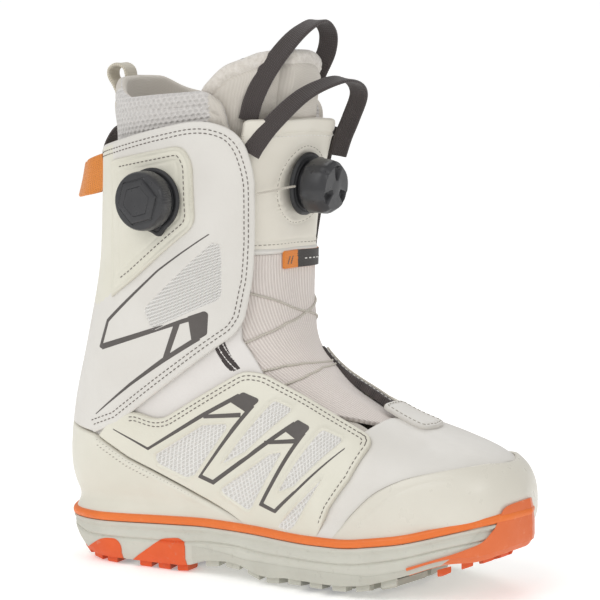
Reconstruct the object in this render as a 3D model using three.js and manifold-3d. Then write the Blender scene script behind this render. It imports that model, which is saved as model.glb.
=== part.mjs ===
// Snowboard boot for the right foot, with two lace dials and a removable liner.
// Millimetres. +X points to the toe, +Y to the inner (medial) side of the foot, +Z up.
// The origin is the middle of the whole boot's footprint, on the ground.
import * as THREE from 'three';
import { mergeVertices } from 'three/addons/utils/BufferGeometryUtils.js';
import Module from 'manifold-3d';

const wasm = await Module();
wasm.setup();

// ---------------------------------------------------------------- driving dimensions
const GAP = 0.3;                 // clearance between pieces that touch on the real boot
const LAYERS = {                 // [inner, outer] distance of each skin from the boot's base surface
  panel: [0.3, 2.7],             // quarters, cuffs, heel counter, toe rand
  base: [-2.3, -0.4],            // vamp and ankle panels, under the panels' edges
  patch: [3.2, 4.5],             // reinforcements on top of the panels
  tongue: [-5.2, -3.0],
};
const LINER = {                  // the padded liner's outer and inner faces, inset from the base surface
  outer: { side: -6.2, top: -6.4, bottom: -8, back: -6.2 },
  inner: { side: -12.5, top: -13, bottom: -11.2, back: -13.5 },
};
const TOE_PULL_ROWS = 3;         // toe stations that move back when a skin is inset
const GIRTH_STEPS = 20;          // points around one section of the boot
const LACE = 1.4;                // lace diameter
const SOLE_PLAN_STEPS = 24;      // points along each side of the sole

// Where the dials sit. The lateral one faces sideways, the front one forwards and a little down.
const LATERAL_DIAL = { at: [-62.5, -62.8, 223] };
const FRONT_DIAL = { at: [1.5, 2, 231], dip: 5 };

// Cross-sections from the toe, over the instep and up the leg. Each one is a plane section from the
// sole or back line (bx, bz) to the top or front line (tx, tz). yc is its middle, w its half width,
// k where it is widest, and nt and nb how square its top and bottom halves are.
const STATIONS = [
  { bx: 147, bz: 42, tx: 146, tz: 60, yc: 3, w: 0, k: 0.4, nt: 2.2, nb: 3.5 },
  { bx: 140, bz: 40, tx: 139, tz: 75, yc: 3, w: 27, k: 0.38, nt: 2.2, nb: 3.5 },
  { bx: 125, bz: 37, tx: 122, tz: 84, yc: 2, w: 41.5, k: 0.36, nt: 2.4, nb: 3.6 },
  { bx: 96, bz: 32, tx: 98, tz: 91, yc: 2, w: 52, k: 0.34, nt: 2.4, nb: 4 },
  { bx: 60, bz: 29, tx: 73, tz: 99, yc: 0, w: 54, k: 0.34, nt: 2.3, nb: 4.2 },
  { bx: 20, bz: 28, tx: 48, tz: 111, yc: -1, w: 51, k: 0.36, nt: 2.2, nb: 4.2 },
  { bx: -24, bz: 28, tx: 22, tz: 125, yc: -1, w: 46, k: 0.4, nt: 2.2, nb: 4 },
  { bx: -82, bz: 28, tx: 5, tz: 143, yc: -1, w: 45, k: 0.42, nt: 2.3, nb: 3.6 },
  { bx: -131, bz: 28, tx: -2, tz: 164, yc: -1, w: 47, k: 0.45, nt: 2.3, nb: 3 },
  { bx: -151, bz: 45, tx: -4, tz: 184, yc: -1, w: 50, k: 0.46, nt: 2.4, nb: 2.5 },
  { bx: -151, bz: 82, tx: -3, tz: 203, yc: -1, w: 52, k: 0.48, nt: 2.4, nb: 2.3 },
  { bx: -140, bz: 126, tx: -1, tz: 221, yc: -1, w: 54, k: 0.5, nt: 2.4, nb: 2.3 },
  { bx: -129, bz: 172, tx: 2, tz: 240, yc: -1, w: 56, k: 0.5, nt: 2.4, nb: 2.3 },
  { bx: -126, bz: 214, tx: 6, tz: 256, yc: -1, w: 57, k: 0.5, nt: 2.4, nb: 2.3 },
  { bx: -125, bz: 250, tx: 10, tz: 270, yc: -1, w: 58, k: 0.5, nt: 2.4, nb: 2.3 },
  { bx: -126, bz: 285, tx: 12, tz: 300, yc: -1, w: 58, k: 0.5, nt: 2.4, nb: 2.3 },
  { bx: -128, bz: 320, tx: 12, tz: 335, yc: -1, w: 58, k: 0.5, nt: 2.4, nb: 2.3 },
];
const LAST_STATION = STATIONS.length - 1;

// Sole outline seen from above, toe to heel along the outer (lateral) and inner (medial) side
const SOLE_LATERAL = [[151, 4], [146, -18], [134, -34], [112, -48], [85, -56], [55, -58.5], [20, -56],
  [-20, -50.5], [-70, -49], [-112, -49], [-138, -39], [-151, -19], [-155, -1]];
const SOLE_MEDIAL = [[151, 4], [143, 22], [131, 38], [111, 51], [85, 58.5], [55, 58.5], [20, 54.5],
  [-20, 49.5], [-70, 47.5], [-112, 47], [-138, 37], [-151, 17], [-155, -1]];
// Heights along the sole, as [x, z]
const GROUND_LINE = [[-155, 22], [-142, 12], [-128, 2.5], [-116, 0], [-50, 0], [-42, 5], [-18, 7],
  [-6, 4], [8, 0], [80, 0], [104, 4], [126, 13], [142, 23], [152, 30]];
const STRIPE_LINE = [[-155, 25], [-115, 26], [-84, 27.5], [-40, 30], [5, 30], [34, 29], [65, 29.5],
  [98, 34.5], [124, 41.5], [143, 46.5], [152, 48]];
const STRIPE_HEIGHT = 4.8;
const EYESTAY_TOP = 9.5;            // how far the inner eyestay stands off the base surface

// ---------------------------------------------------------------- curves
function catmull(p0, p1, p2, p3, f) {
  return 0.5 * (2 * p1 + (p2 - p0) * f + (2 * p0 - 5 * p1 + 4 * p2 - p3) * f * f
    + (3 * p1 - p0 - 3 * p2 + p3) * f * f * f);
}

// One smooth section between the stations. The toe end is mirrored, so it closes round.
function sectionAt(t) {
  const i = Math.min(Math.max(Math.floor(t), 0), LAST_STATION - 1);
  const at = (j) => STATIONS[Math.min(Math.max(j, 0), LAST_STATION)];
  const result = {};
  for (const key of Object.keys(STATIONS[0])) {
    let before = at(i - 1)[key];
    let after = at(i + 2)[key];
    if (i === 0) before = key === 'w' ? -STATIONS[1].w : STATIONS[1][key];
    if (i === LAST_STATION - 1) after = 2 * STATIONS[LAST_STATION][key] - STATIONS[i][key];
    result[key] = catmull(before, at(i)[key], at(i + 1)[key], after, t - i);
  }
  return result;
}

// Height along the sole at x, from a line of [x, z] points
function heightAt(line, x) {
  const i = Math.max(0, Math.min(line.length - 2, line.findIndex((p) => p[0] > x) - 1));
  const j = line.findIndex((p) => p[0] > x) < 0 ? line.length - 2 : i;
  const f = THREE.MathUtils.clamp((x - line[j][0]) / (line[j + 1][0] - line[j][0]), 0, 1);
  return THREE.MathUtils.lerp(line[j][1], line[j + 1][1], THREE.MathUtils.smoothstep(f, -0.3, 1.3));
}

// A point of the boot's skin. t runs from the toe up the leg, v is 0 at the front and 180 at the back.
function skinPoint(t, v, inset) {
  const s = sectionAt(t);
  const length = Math.hypot(s.tx - s.bx, s.tz - s.bz);
  const ex = (s.tx - s.bx) / length;
  const ez = (s.tz - s.bz) / length;
  const toePull = Math.max(0, 1 - t / TOE_PULL_ROWS) ** 1.6 * inset.side;
  const top = Math.max((1 - s.k) * length + inset.top, 1.2);
  const upLeg = THREE.MathUtils.smoothstep(t, 7, 9);
  const under = THREE.MathUtils.lerp(inset.bottom, inset.back, upLeg);
  const bottom = Math.max(s.k * length + under, 1.2);
  const width = Math.max(s.w + inset.side * Math.min(1, s.w / STATIONS[1].w), 0);
  const angle = THREE.MathUtils.degToRad(v);
  const c = Math.cos(angle);
  const n = Math.sin(angle);
  const power = 2 / (c > 0 ? s.nt : s.nb);
  const up = Math.sign(c) * Math.abs(c) ** power * (c > 0 ? top : bottom) + s.k * length;
  const side = Math.abs(n) < 1e-9 ? 0 : Math.sign(n) * Math.abs(n) ** power * width;
  return [s.bx + ex * up + toePull, s.yc + side, s.bz + ez * up];
}

const evenInset = (d) => ({ side: d, top: d, bottom: d, back: d });

// ---------------------------------------------------------------- solids
function signedVolume(triangles) {
  let sum = 0;
  for (const [a, b, c] of triangles) {
    sum += a[0] * (b[1] * c[2] - b[2] * c[1]) - a[1] * (b[0] * c[2] - b[2] * c[0])
      + a[2] * (b[0] * c[1] - b[1] * c[0]);
  }
  return sum;
}

function geometryOf(triangles) {
  const outward = signedVolume(triangles) < 0 ? triangles.map(([a, b, c]) => [a, c, b]) : triangles;
  const geometry = new THREE.BufferGeometry();
  geometry.setAttribute('position', new THREE.Float32BufferAttribute(outward.flat(2), 3));
  return geometry;
}

function toSolid(geometry) {
  const bare = geometry.clone();
  bare.deleteAttribute('normal');
  bare.deleteAttribute('uv');
  const merged = mergeVertices(bare, 1e-3);
  const index = [];
  for (let i = 0; i < merged.index.count; i += 3) {
    const [a, b, c] = [0, 1, 2].map((j) => merged.index.getX(i + j));
    if (a !== b && b !== c && c !== a) index.push(a, b, c);
  }
  return new wasm.Manifold(new wasm.Mesh({
    numProp: 3,
    vertProperties: new Float32Array(merged.attributes.position.array),
    triVerts: new Uint32Array(index),
  }));
}

// Keeps the largest body, so that a sliver left by a cut doesn't count as a piece
function toGeometry(solid) {
  const bodies = solid.decompose().sort((a, b) => b.volume() - a.volume());
  const mesh = bodies[0].getMesh();
  const geometry = new THREE.BufferGeometry();
  geometry.setAttribute('position', new THREE.Float32BufferAttribute(mesh.vertProperties, 3));
  geometry.setIndex(new THREE.Uint32BufferAttribute(mesh.triVerts, 1));
  const flat = geometry.toNonIndexed();
  flat.computeVertexNormals();
  return flat;
}

function addQuad(triangles, a, b, c, d) {
  triangles.push([a, b, c], [a, c, d]);
}

// Closed body through a list of rings with the same number of points, with flat ends
function loft(rings, closedEnds = true) {
  const triangles = [];
  for (let i = 0; i + 1 < rings.length; i += 1) {
    const n = rings[i].length;
    for (let j = 0; j < n; j += 1) {
      const k = (j + 1) % n;
      addQuad(triangles, rings[i][j], rings[i][k], rings[i + 1][k], rings[i + 1][j]);
    }
  }
  if (closedEnds) {
    for (const [ring, flip] of [[rings[0], true], [rings[rings.length - 1], false]]) {
      for (let j = 1; j + 1 < ring.length; j += 1) {
        triangles.push(flip ? [ring[0], ring[j + 1], ring[j]] : [ring[0], ring[j], ring[j + 1]]);
      }
    }
  }
  return geometryOf(triangles);
}

const GIRTH = Array.from({ length: GIRTH_STEPS }, (_, j) => -180 + 360 * j / GIRTH_STEPS);
// Stations are sampled twice where the boot turns, and once along the leg
const ALONG = [0, 0.4, 0.75, 1, 1.5, 2, 2.5, 3, 4, 5, 6, 7, 7.5, 8, 8.5, 9, 9.5, 10, 11, 12, 13, 14, 15, 16];

// The space inside one skin, filled
function skinSolid(inset) {
  return toSolid(loft(ALONG.map((t) => GIRTH.map((v) => skinPoint(t, v, inset)))));
}

// The sheet between two skins, open at the top of the leg
function skinLayer(innerInset, outerInset) {
  const outer = ALONG.map((t) => GIRTH.map((v) => skinPoint(t, v, outerInset)));
  const inner = ALONG.map((t) => GIRTH.map((v) => skinPoint(t, v, innerInset)));
  const triangles = [];
  const last = ALONG.length - 1;
  for (let j = 0; j < GIRTH_STEPS; j += 1) {
    const k = (j + 1) % GIRTH_STEPS;
    for (let i = 0; i < last; i += 1) {
      addQuad(triangles, outer[i][j], outer[i][k], outer[i + 1][k], outer[i + 1][j]);
      addQuad(triangles, inner[i][k], inner[i][j], inner[i + 1][j], inner[i + 1][k]);
    }
    addQuad(triangles, outer[last][j], outer[last][k], inner[last][k], inner[last][j]);
  }
  return toSolid(geometryOf(triangles));
}

// A flat shape of [a, b] or [a, b, corner radius] points
function flatShape(points) {
  const shape = new THREE.Shape();
  const n = points.length;
  points.forEach(([a, b, radius = 0], i) => {
    const here = new THREE.Vector2(a, b);
    const towards = (q) => {
      const edge = new THREE.Vector2(q[0], q[1]).sub(here);
      return edge.setLength(Math.min(radius, 0.45 * edge.length())).add(here);
    };
    const start = radius ? towards(points[(i + n - 1) % n]) : here;
    if (i === 0) shape.moveTo(start.x, start.y);
    else shape.lineTo(start.x, start.y);
    if (radius) {
      const end = towards(points[(i + 1) % n]);
      shape.quadraticCurveTo(a, b, end.x, end.y);
    }
  });
  shape.closePath();
  return shape;
}

// A block with a side-view outline of [x, z] points, from yLow to yHigh
function sideBlock(points, yLow = -120, yHigh = 120) {
  const geometry = new THREE.ExtrudeGeometry(flatShape(points), {
    depth: yHigh - yLow, bevelEnabled: false, curveSegments: 4,
  });
  geometry.rotateX(Math.PI / 2);
  geometry.translate(0, yHigh, 0);
  return toSolid(geometry);
}

// A block with a top-view outline of [x, y] points, from zLow to zHigh
function topBlock(points, zLow = -20, zHigh = 400) {
  const geometry = new THREE.ExtrudeGeometry(flatShape(points), {
    depth: zHigh - zLow, bevelEnabled: false, curveSegments: 4,
  });
  geometry.translate(0, 0, zLow);
  return toSolid(geometry);
}

const colours = {
  white: 0xe2e0db, cream: 0xdedbcc, knit: 0xe8e1db, orange: 0xe8772e, rubber: 0xc9c8bc,
  charcoal: 0x4a4240, dial: 0x3a3a3c, lace: 0xd8d2c6, liner: 0xdddad6, inner: 0xd6d0c6,
  steel: 0x9a9a9c, foam: 0xe4e2dc, board: 0xb9a88a,
};

function mesh(name, geometry, colour, roughness = 0.7, metalness = 0) {
  const material = new THREE.MeshStandardMaterial({ color: colours[colour], roughness, metalness });
  const piece = new THREE.Mesh(geometry, material);
  piece.name = name;
  return piece;
}

// ---------------------------------------------------------------- sole unit
function sampledSide(points) {
  const curve = new THREE.CatmullRomCurve3(points.map(([x, y]) => new THREE.Vector3(x, y, 0)));
  return Array.from({ length: SOLE_PLAN_STEPS + 1 }, (_, i) => {
    const p = curve.getPoint(i / SOLE_PLAN_STEPS);
    return [p.x, p.y];
  });
}
const LATERAL_SIDE = sampledSide(SOLE_LATERAL);
const MEDIAL_SIDE = sampledSide(SOLE_MEDIAL);

// The sole's outline moved outwards by the inset, or inwards where it is negative
function soleRing(inset, height) {
  const ring = [...LATERAL_SIDE, ...MEDIAL_SIDE.slice(1, -1).reverse()];
  const n = ring.length;
  return ring.map(([x, y], i) => {
    const before = ring[(i + n - 1) % n];
    const after = ring[(i + 1) % n];
    const length = Math.hypot(after[0] - before[0], after[1] - before[1]);
    const nx = -(after[1] - before[1]) / length;
    const ny = (after[0] - before[0]) / length;
    return [x + nx * inset, y + ny * inset, height(x)];
  });
}

// A slab that follows the sole's outline. Each level is { inset, z } with z a function of x.
function soleSlab(levels) {
  const rings = levels.map(({ inset, z }) => soleRing(inset, z));
  const triangles = [];
  const n = rings[0].length;
  for (let i = 0; i + 1 < rings.length; i += 1) {
    for (let j = 0; j < n; j += 1) {
      const k = (j + 1) % n;
      addQuad(triangles, rings[i][j], rings[i][k], rings[i + 1][k], rings[i + 1][j]);
    }
  }
  const cap = (ring, flip) => {
    for (let j = 0; j < SOLE_PLAN_STEPS; j += 1) {
      const a = ring[j];
      const b = ring[j + 1];
      const c = ring[(n - j - 1) % n];
      const d = ring[(n - j) % n];
      const quad = flip ? [a, d, c, b] : [a, b, c, d];
      addQuad(triangles, ...quad);
    }
  };
  cap(rings[0], true);
  cap(rings[rings.length - 1], false);
  return toSolid(geometryOf(triangles));
}

const ground = (x) => heightAt(GROUND_LINE, x);
const stripe = (x) => heightAt(STRIPE_LINE, x);
const upperCavity = skinSolid(evenInset(LAYERS.panel[1] + GAP + 0.2));

// Side-view outlines that split the sole: the two heel lugs, the outsole and the toe bumper
const HEEL_LUG_REAR = [[-160, -5], [-83, -5], [-83, 11, 3], [-88, 16.5, 4], [-108, 14.5, 5],
  [-130, 13, 4], [-139, 18], [-160, 26]];
const HEEL_LUG_FRONT = [[-82, -5], [-82, 3], [-68, 19, 4], [-56, 21, 3], [-51, 14, 3], [-50, -5]];
const TOE_BUMPER = [[104, -10], [160, -10], [160, 60.5], [150, 61, 3], [144.5, 59, 2], [143, 45],
  [138, 35, 3], [126, 24.5, 3], [104, 8]];
const FOREFOOT = [[-47, -10], [103.5, -10], [103.5, 8], [125.5, 25], [103, 14], [80, 6.5], [-8, 6.5],
  [-20, 12], [-47, 11]];

// The same spaces with a clearance, as the midsole is cut away for them
const HEEL_LUG_SPACE = [[-165, -10], [-49.5, -10], [-49.5, 14], [-51, 20.5, 3], [-56, 21.6, 3],
  [-69, 19.6, 4], [-78, 8.5, 2], [-83, 11.6, 2], [-88, 17.1, 4], [-108, 15.1, 5], [-130, 13.6, 4],
  [-139, 18.6], [-165, 27.6]];
const FOREFOOT_SPACE = [[-49, -10], [170, -10], [170, 60], [142.7, 60], [142.7, 45.3], [137.4, 35.4, 3],
  [125.2, 25.6, 3], [103, 14.4], [80, 7], [-7.6, 7], [-20, 12.4], [-49, 11.6]];
// Pockets in the top of the midsole for the heel cushion and the shank, seen from above
const CUSHION_POCKET = [[-134, -24, 8], [-88, -24, 8], [-88, 22, 8], [-134, 22, 8]];
const SHANK_POCKET = [[-60, -14, 6], [34, -14, 6], [34, 12, 6], [-60, 12, 6]];

function outsolePieces() {
  const whole = soleSlab([
    { inset: -6, z: (x) => ground(x) },
    { inset: -1.2, z: (x) => ground(x) + 3.5 },
    { inset: 0, z: (x) => ground(x) + 10 },
    { inset: -0.6, z: (x) => stripe(x) - GAP },
  ]).subtract(upperCavity);
  const lugRear = whole.intersect(sideBlock(HEEL_LUG_REAR));
  const lugFront = whole.intersect(sideBlock(HEEL_LUG_FRONT));
  const forefoot = whole.intersect(sideBlock(FOREFOOT));
  // The midsole is what the lugs, the outsole and the bumper leave, with a clearance round each
  const midsole = whole.subtract(sideBlock(HEEL_LUG_SPACE)).subtract(sideBlock(FOREFOOT_SPACE))
    .subtract(topBlock(CUSHION_POCKET, 18)).subtract(topBlock(SHANK_POCKET, 21));
  return { lugRear, lugFront, forefoot, midsole };
}

function toeBumper() {
  const bumper = soleSlab([
    { inset: -6, z: (x) => ground(x) },
    { inset: -0.4, z: (x) => ground(x) + 3.5 },
    { inset: 1.2, z: (x) => ground(x) + 10 },
    { inset: 0.6, z: () => 50 },
    { inset: -2.4, z: () => 66 },
  ]);
  return bumper.intersect(sideBlock(TOE_BUMPER)).subtract(upperCavity)
    .subtract(topBlock([[104, -70], [170, -70], [170, -24], [104, -24]], 45.5))
    .subtract(topBlock([[104, 70], [170, 70], [170, 32], [104, 32]], 45.5));
}

function foxingBand() {
  const band = soleSlab([
    { inset: 0.2, z: (x) => stripe(x) },
    { inset: 1.2, z: (x) => stripe(x) + STRIPE_HEIGHT / 2 },
    { inset: 0.1, z: (x) => stripe(x) + STRIPE_HEIGHT },
  ]);
  return band.subtract(upperCavity)
    .subtract(sideBlock([[142.6, 20], [170, 20], [170, 80], [142.6, 80]], -40, 45));
}

const BOARD_LINE = [[-155, 30.8], [20, 30.8], [60, 31.8], [96, 34.8], [125, 39.8], [140, 42.8], [147, 44.8]];
const boardBottom = (x) => heightAt(BOARD_LINE, x);

function insoleBoard() {
  const slab = soleSlab([
    { inset: -3, z: boardBottom },
    { inset: -3, z: (x) => boardBottom(x) + 2 },
  ]);
  return slab.intersect(skinSolid(evenInset(LAYERS.base[0] - 0.4)));
}

function soleUnit() {
  const { lugRear, lugFront, forefoot, midsole } = outsolePieces();
  const shank = topBlock([[-58, -11.5, 5], [32, -11.5, 5], [32, 9.5, 5], [-58, 9.5, 5]], 21.4, 23.4);
  const cushion = topBlock([[-132, -22, 7], [-90, -22, 7], [-90, 20, 7], [-132, 20, 7]], 18.4, 24.4);
  return [
    mesh('outsole_forefoot', toGeometry(forefoot), 'rubber', 0.85),
    mesh('heel_lug_rear', toGeometry(lugRear), 'orange', 0.7),
    mesh('heel_lug_front', toGeometry(lugFront), 'orange', 0.7),
    mesh('toe_bumper', toGeometry(toeBumper()), 'orange', 0.6),
    mesh('midsole', toGeometry(midsole), 'rubber', 0.8),
    mesh('foxing_band', toGeometry(foxingBand()), 'orange', 0.6),
    mesh('shank', toGeometry(shank), 'steel', 0.4, 0.8),
    mesh('heel_cushion', toGeometry(cushion), 'foam', 0.9),
    mesh('insole_board', toGeometry(insoleBoard()), 'board', 0.9),
  ];
}

// ---------------------------------------------------------------- outer shell
const layer = Object.fromEntries(Object.entries(LAYERS).map(([name, [inner, outer]]) =>
  [name, skinLayer(evenInset(inner), evenInset(outer))]));

// Side-view outlines of the panels, as [x, z, corner radius]
const TOE_RAND = [[53, 33], [72, 52], [81, 63], [105, 72], [131, 76], [160, 76],
  [160, 46], [140, 45.5], [125, 43], [98, 37], [65, 32]];
const VAMP = [[52, 34], [80, 34], [160, 48], [160, 120], [76, 120], [63, 90], [50, 60]];
const QUARTER = [[-16, 123, 4], [-4, 122.5], [12, 114.5], [47, 99.5], [69, 90.5], [72, 86.5], [65, 68.5],
  [52.6, 51], [44, 31.7], [5, 31.4], [-42.7, 48.6], [-91.7, 66.6], [-113, 78], [-98, 85], [-54, 118]];
const HEEL_COUNTER = [[-160, 31], [4, 31], [-43.3, 47.6], [-92.3, 65.6], [-116, 78.6], [-165, 84]];
const ANKLE_PANEL = [[-17, 119], [-29, 143], [-31, 185, 4], [-60, 200], [-118, 190], [-135, 120], [-120, 60],
  [-60, 60], [-33, 98]];
const CUFF = [[-98, 253], [-47, 262], [-25, 266], [-9, 266, 9], [-11, 235], [-15, 206], [-17, 170],
  [-19, 153], [-23, 144.5, 4], [-54, 120.6], [-98, 87.5]];
const BACKSTAY = [[-98.5, 252.8], [-104, 252], [-112, 248], [-170, 244], [-170, 90], [-117, 80],
  [-98.5, 87.2]];
const DIAL_PATCH = [[-97.4, 241, 3], [-47, 254, 8], [-41, 240], [-41, 211], [-47, 201, 5], [-78, 177],
  [-97.4, 165]];
const TONGUE_UPPER = [[-60, 192], [-10, 191], [40, 189], [40, 272], [-10, 269], [-60, 268]];
const TONGUE_LOWER = [[-60, 188.5], [-60, 126], [-16, 126], [-5, 117], [50, 92], [74, 92], [90, 120],
  [40, 188.5]];
// The opening between the two sides, seen from above, that the tongue fills
const THROAT = [[66, -11], [47, -20], [12, -29], [0, -31], [-70, -31], [-70, 26], [0, 26], [12, 25], [47, 20],
  [66, 11]];

function halfOf(solid, side, seam = 0.25) {
  const [low, high] = side === 'lateral' ? [-120, -seam - 1] : [seam - 1, 120];
  return solid.intersect(sideBlock([[-200, -20], [200, -20], [200, 360], [-200, 360]], low, high));
}

function sidePanels(name, source, outline, colour, roughness) {
  return ['lateral', 'medial'].map((side) => {
    const cut = halfOf(source.intersect(sideBlock(outline)), side);
    return mesh(`${name}_${side}`, toGeometry(cut), colour, roughness);
  });
}

function shellPanels() {
  const throatGap = topBlock([[76, -12], [47, -24], [12, -34], [0, -36], [-30, -36], [-30, 31], [0, 31],
    [12, 30], [47, 24], [76, 12]], 80);
  const base = layer.base.subtract(throatGap);
  const patch = halfOf(layer.patch.intersect(sideBlock(DIAL_PATCH)), 'lateral');
  const rand = layer.panel.intersect(sideBlock(TOE_RAND))
    .subtract(sideBlock([[142.4, 20], [170, 20], [170, 61.6], [142.4, 61.6]], -26, 34));
  return [
    mesh('toe_rand', toGeometry(rand), 'cream', 0.45),
    mesh('vamp', toGeometry(base.intersect(sideBlock(VAMP))), 'white', 0.6),
    ...sidePanels('quarter', layer.panel.subtract(throatGap), QUARTER, 'cream', 0.55),
    mesh('heel_counter', toGeometry(layer.panel.intersect(sideBlock(HEEL_COUNTER))), 'cream', 0.5),
    ...sidePanels('ankle_panel', base, ANKLE_PANEL, 'white', 0.6),
    ...sidePanels('cuff', layer.panel, CUFF, 'white', 0.6),
    mesh('backstay', toGeometry(layer.panel.intersect(sideBlock(BACKSTAY))), 'cream', 0.55),
    mesh('dial_patch', toGeometry(patch), 'cream', 0.5),
  ];
}

function throatTab() {
  const outline = topBlock([[60, -9, 3], [90, -11, 5], [90, 13, 5], [60, 10, 3]], 70);
  return mesh('throat_tab', toGeometry(layer.panel.intersect(outline)), 'white', 0.6);
}

// The folded webbing that stands up along the inner edge of the throat
function eyestay() {
  const band = skinLayer(evenInset(LAYERS.patch[0]), evenInset(EYESTAY_TOP));
  const outline = topBlock([[86, 14.5], [72, 18], [47, 26], [12, 32], [12, 36], [50, 30], [74, 22],
    [88, 18]], 80);
  return mesh('eyestay_medial', toGeometry(band.intersect(outline)), 'charcoal', 0.8);
}

// ---------------------------------------------------------------- tongue
function tonguePanels() {
  const throat = topBlock(THROAT, 80);
  const upper = layer.tongue.intersect(topBlock([[-60, -38], [40, -38], [40, 31], [-60, 31]], 150))
    .intersect(sideBlock(TONGUE_UPPER));
  const lower = layer.tongue.intersect(throat).intersect(sideBlock(TONGUE_LOWER));
  const tag = new THREE.BoxGeometry(1.2, 30, 9);
  tag.rotateY(-0.1);
  tag.translate(-1.2, 9, 185.5);
  return [
    mesh('tongue_upper', toGeometry(upper), 'cream', 0.55),
    mesh('tongue_lower', toGeometry(lower), 'knit', 0.9),
    mesh('tongue_tag', tag, 'charcoal', 0.8),
  ];
}

// ---------------------------------------------------------------- liner
const LINER_BODY = [[-170, 20], [170, 20], [170, 135], [-60, 135], [-60, 150], [-16, 150], [-16, 268, 3],
  [-25, 286, 6], [-70, 283, 4], [-97, 281], [-120, 294], [-170, 296]];
const LINER_TONGUE = [[-80, 128], [60, 128], [60, 310], [-20, 310, 6], [-30, 292], [-40, 270]];

function linerPieces() {
  const shell = skinLayer(LINER.inner, LINER.outer);
  const front = topBlock([[-40, -24], [80, -24], [80, 20], [-40, 20]], 135);
  const body = shell.intersect(sideBlock(LINER_BODY)).subtract(front);
  const tongue = shell.intersect(topBlock([[-40, -23.5], [80, -23.5], [80, 19.5], [-40, 19.5]], 135.6))
    .intersect(sideBlock(LINER_TONGUE));
  const footbed = skinSolid({ side: -13.6, top: -30, bottom: -12, back: -14.4 })
    .intersect(soleSlab([
      { inset: -17, z: (x) => boardBottom(x) + 8 },
      { inset: -17, z: (x) => boardBottom(x) + 11 },
    ]));
  return [
    mesh('liner_body', toGeometry(body), 'liner', 0.95),
    mesh('liner_tongue', toGeometry(tongue), 'knit', 0.9),
    mesh('footbed', toGeometry(footbed), 'inner', 0.9),
  ];
}

// ---------------------------------------------------------------- laces and straps
function tube(points, diameter, steps, sides = 8) {
  const path = new THREE.CatmullRomCurve3(points.map((p) => new THREE.Vector3(...p)));
  const section = new THREE.Shape();
  section.absarc(0, 0, diameter / 2, 0, 2 * Math.PI, false);
  return new THREE.ExtrudeGeometry(section, {
    steps, extrudePath: path, bevelEnabled: false, curveSegments: sides / 4,
  });
}

// A woven strap along a route, flat against the direction given at each point
function strap(route, width, thickness, steps) {
  const path = new THREE.CatmullRomCurve3(route.map(({ at }) => new THREE.Vector3(...at)));
  const across = new THREE.CatmullRomCurve3(route.map(({ across: a }) => new THREE.Vector3(...a)));
  const rings = Array.from({ length: steps + 1 }, (_, i) => {
    const u = i / steps;
    const tangent = path.getTangent(u);
    const side = across.getPoint(u).normalize();
    const normal = new THREE.Vector3().crossVectors(tangent, side).normalize();
    side.crossVectors(normal, tangent).normalize();
    return [[-1, -1], [1, -1], [1, 1], [-1, 1]].map(([a, b]) => path.getPoint(u)
      .addScaledVector(side, a * width / 2).addScaledVector(normal, b * thickness / 2).toArray());
  });
  return loft(rings);
}

const STRAPS = {
  front_pull_loop: { width: 15, route: [
    { at: [2, -40, 252], across: [0.8, 0.35, -0.35] }, { at: [8, -32, 266], across: [0.85, 0.3, -0.35] },
    { at: [18, -15, 285], across: [1, 0.1, -0.3] }, { at: [24, 4, 294], across: [1, 0, -0.25] },
    { at: [24, 22, 291], across: [1, 0.1, -0.1] }, { at: [20, 33, 277], across: [1, 0.3, 0] },
    { at: [14, 35.5, 260], across: [1, 0.4, 0] }] },
  liner_pull_loop: { width: 14, route: [
    { at: [-7, -43, 278], across: [0.8, -0.5, 0] }, { at: [-4, -39, 292], across: [0.8, -0.5, -0.1] },
    { at: [3, -28, 311], across: [0.9, -0.35, -0.1] }, { at: [8, -12, 325], across: [1, -0.1, -0.1] },
    { at: [9, 6, 328], across: [1, 0, 0] }, { at: [9, 22, 318], across: [1, 0.2, 0] },
    { at: [7, 31, 300], across: [1, 0.4, 0] }, { at: [5, 34, 286], across: [1, 0.5, 0] }] },
  rear_pull_loop: { width: 22, route: [
    { at: [-131, -16, 232], across: [0, 0.15, 1] }, { at: [-147, -13, 227], across: [0, 0.1, 1] },
    { at: [-157, -4, 226], across: [0, 0, 1] }, { at: [-157, 8, 228], across: [0, 0, 1] },
    { at: [-146, 14, 233], across: [0, -0.1, 1] }, { at: [-131, 15, 238], across: [0, -0.15, 1] }] },
  liner_heel_loop: { width: 13, route: [
    { at: [-121.6, -8, 277], across: [0, 1, 0] }, { at: [-124.5, -8, 289], across: [0, 1, 0] },
    { at: [-129, -8, 299], across: [0, 1, 0] }, { at: [-127, -8, 305.5], across: [0, 1, 0] },
    { at: [-119, -8, 307.5], across: [0, 1, 0] }, { at: [-111.5, -8, 303], across: [0, 1, 0] },
    { at: [-108.6, -8, 294], across: [0, 1, 0] }] },
};
const STRAP_THICKNESS = 1.8;

function straps() {
  return Object.entries(STRAPS).map(([name, { width, route }]) => {
    const colour = { rear_pull_loop: 'orange', liner_heel_loop: 'inner' }[name] ?? 'charcoal';
    return mesh(name, strap(route, width, STRAP_THICKNESS, 14), colour, 0.85);
  });
}

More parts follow.
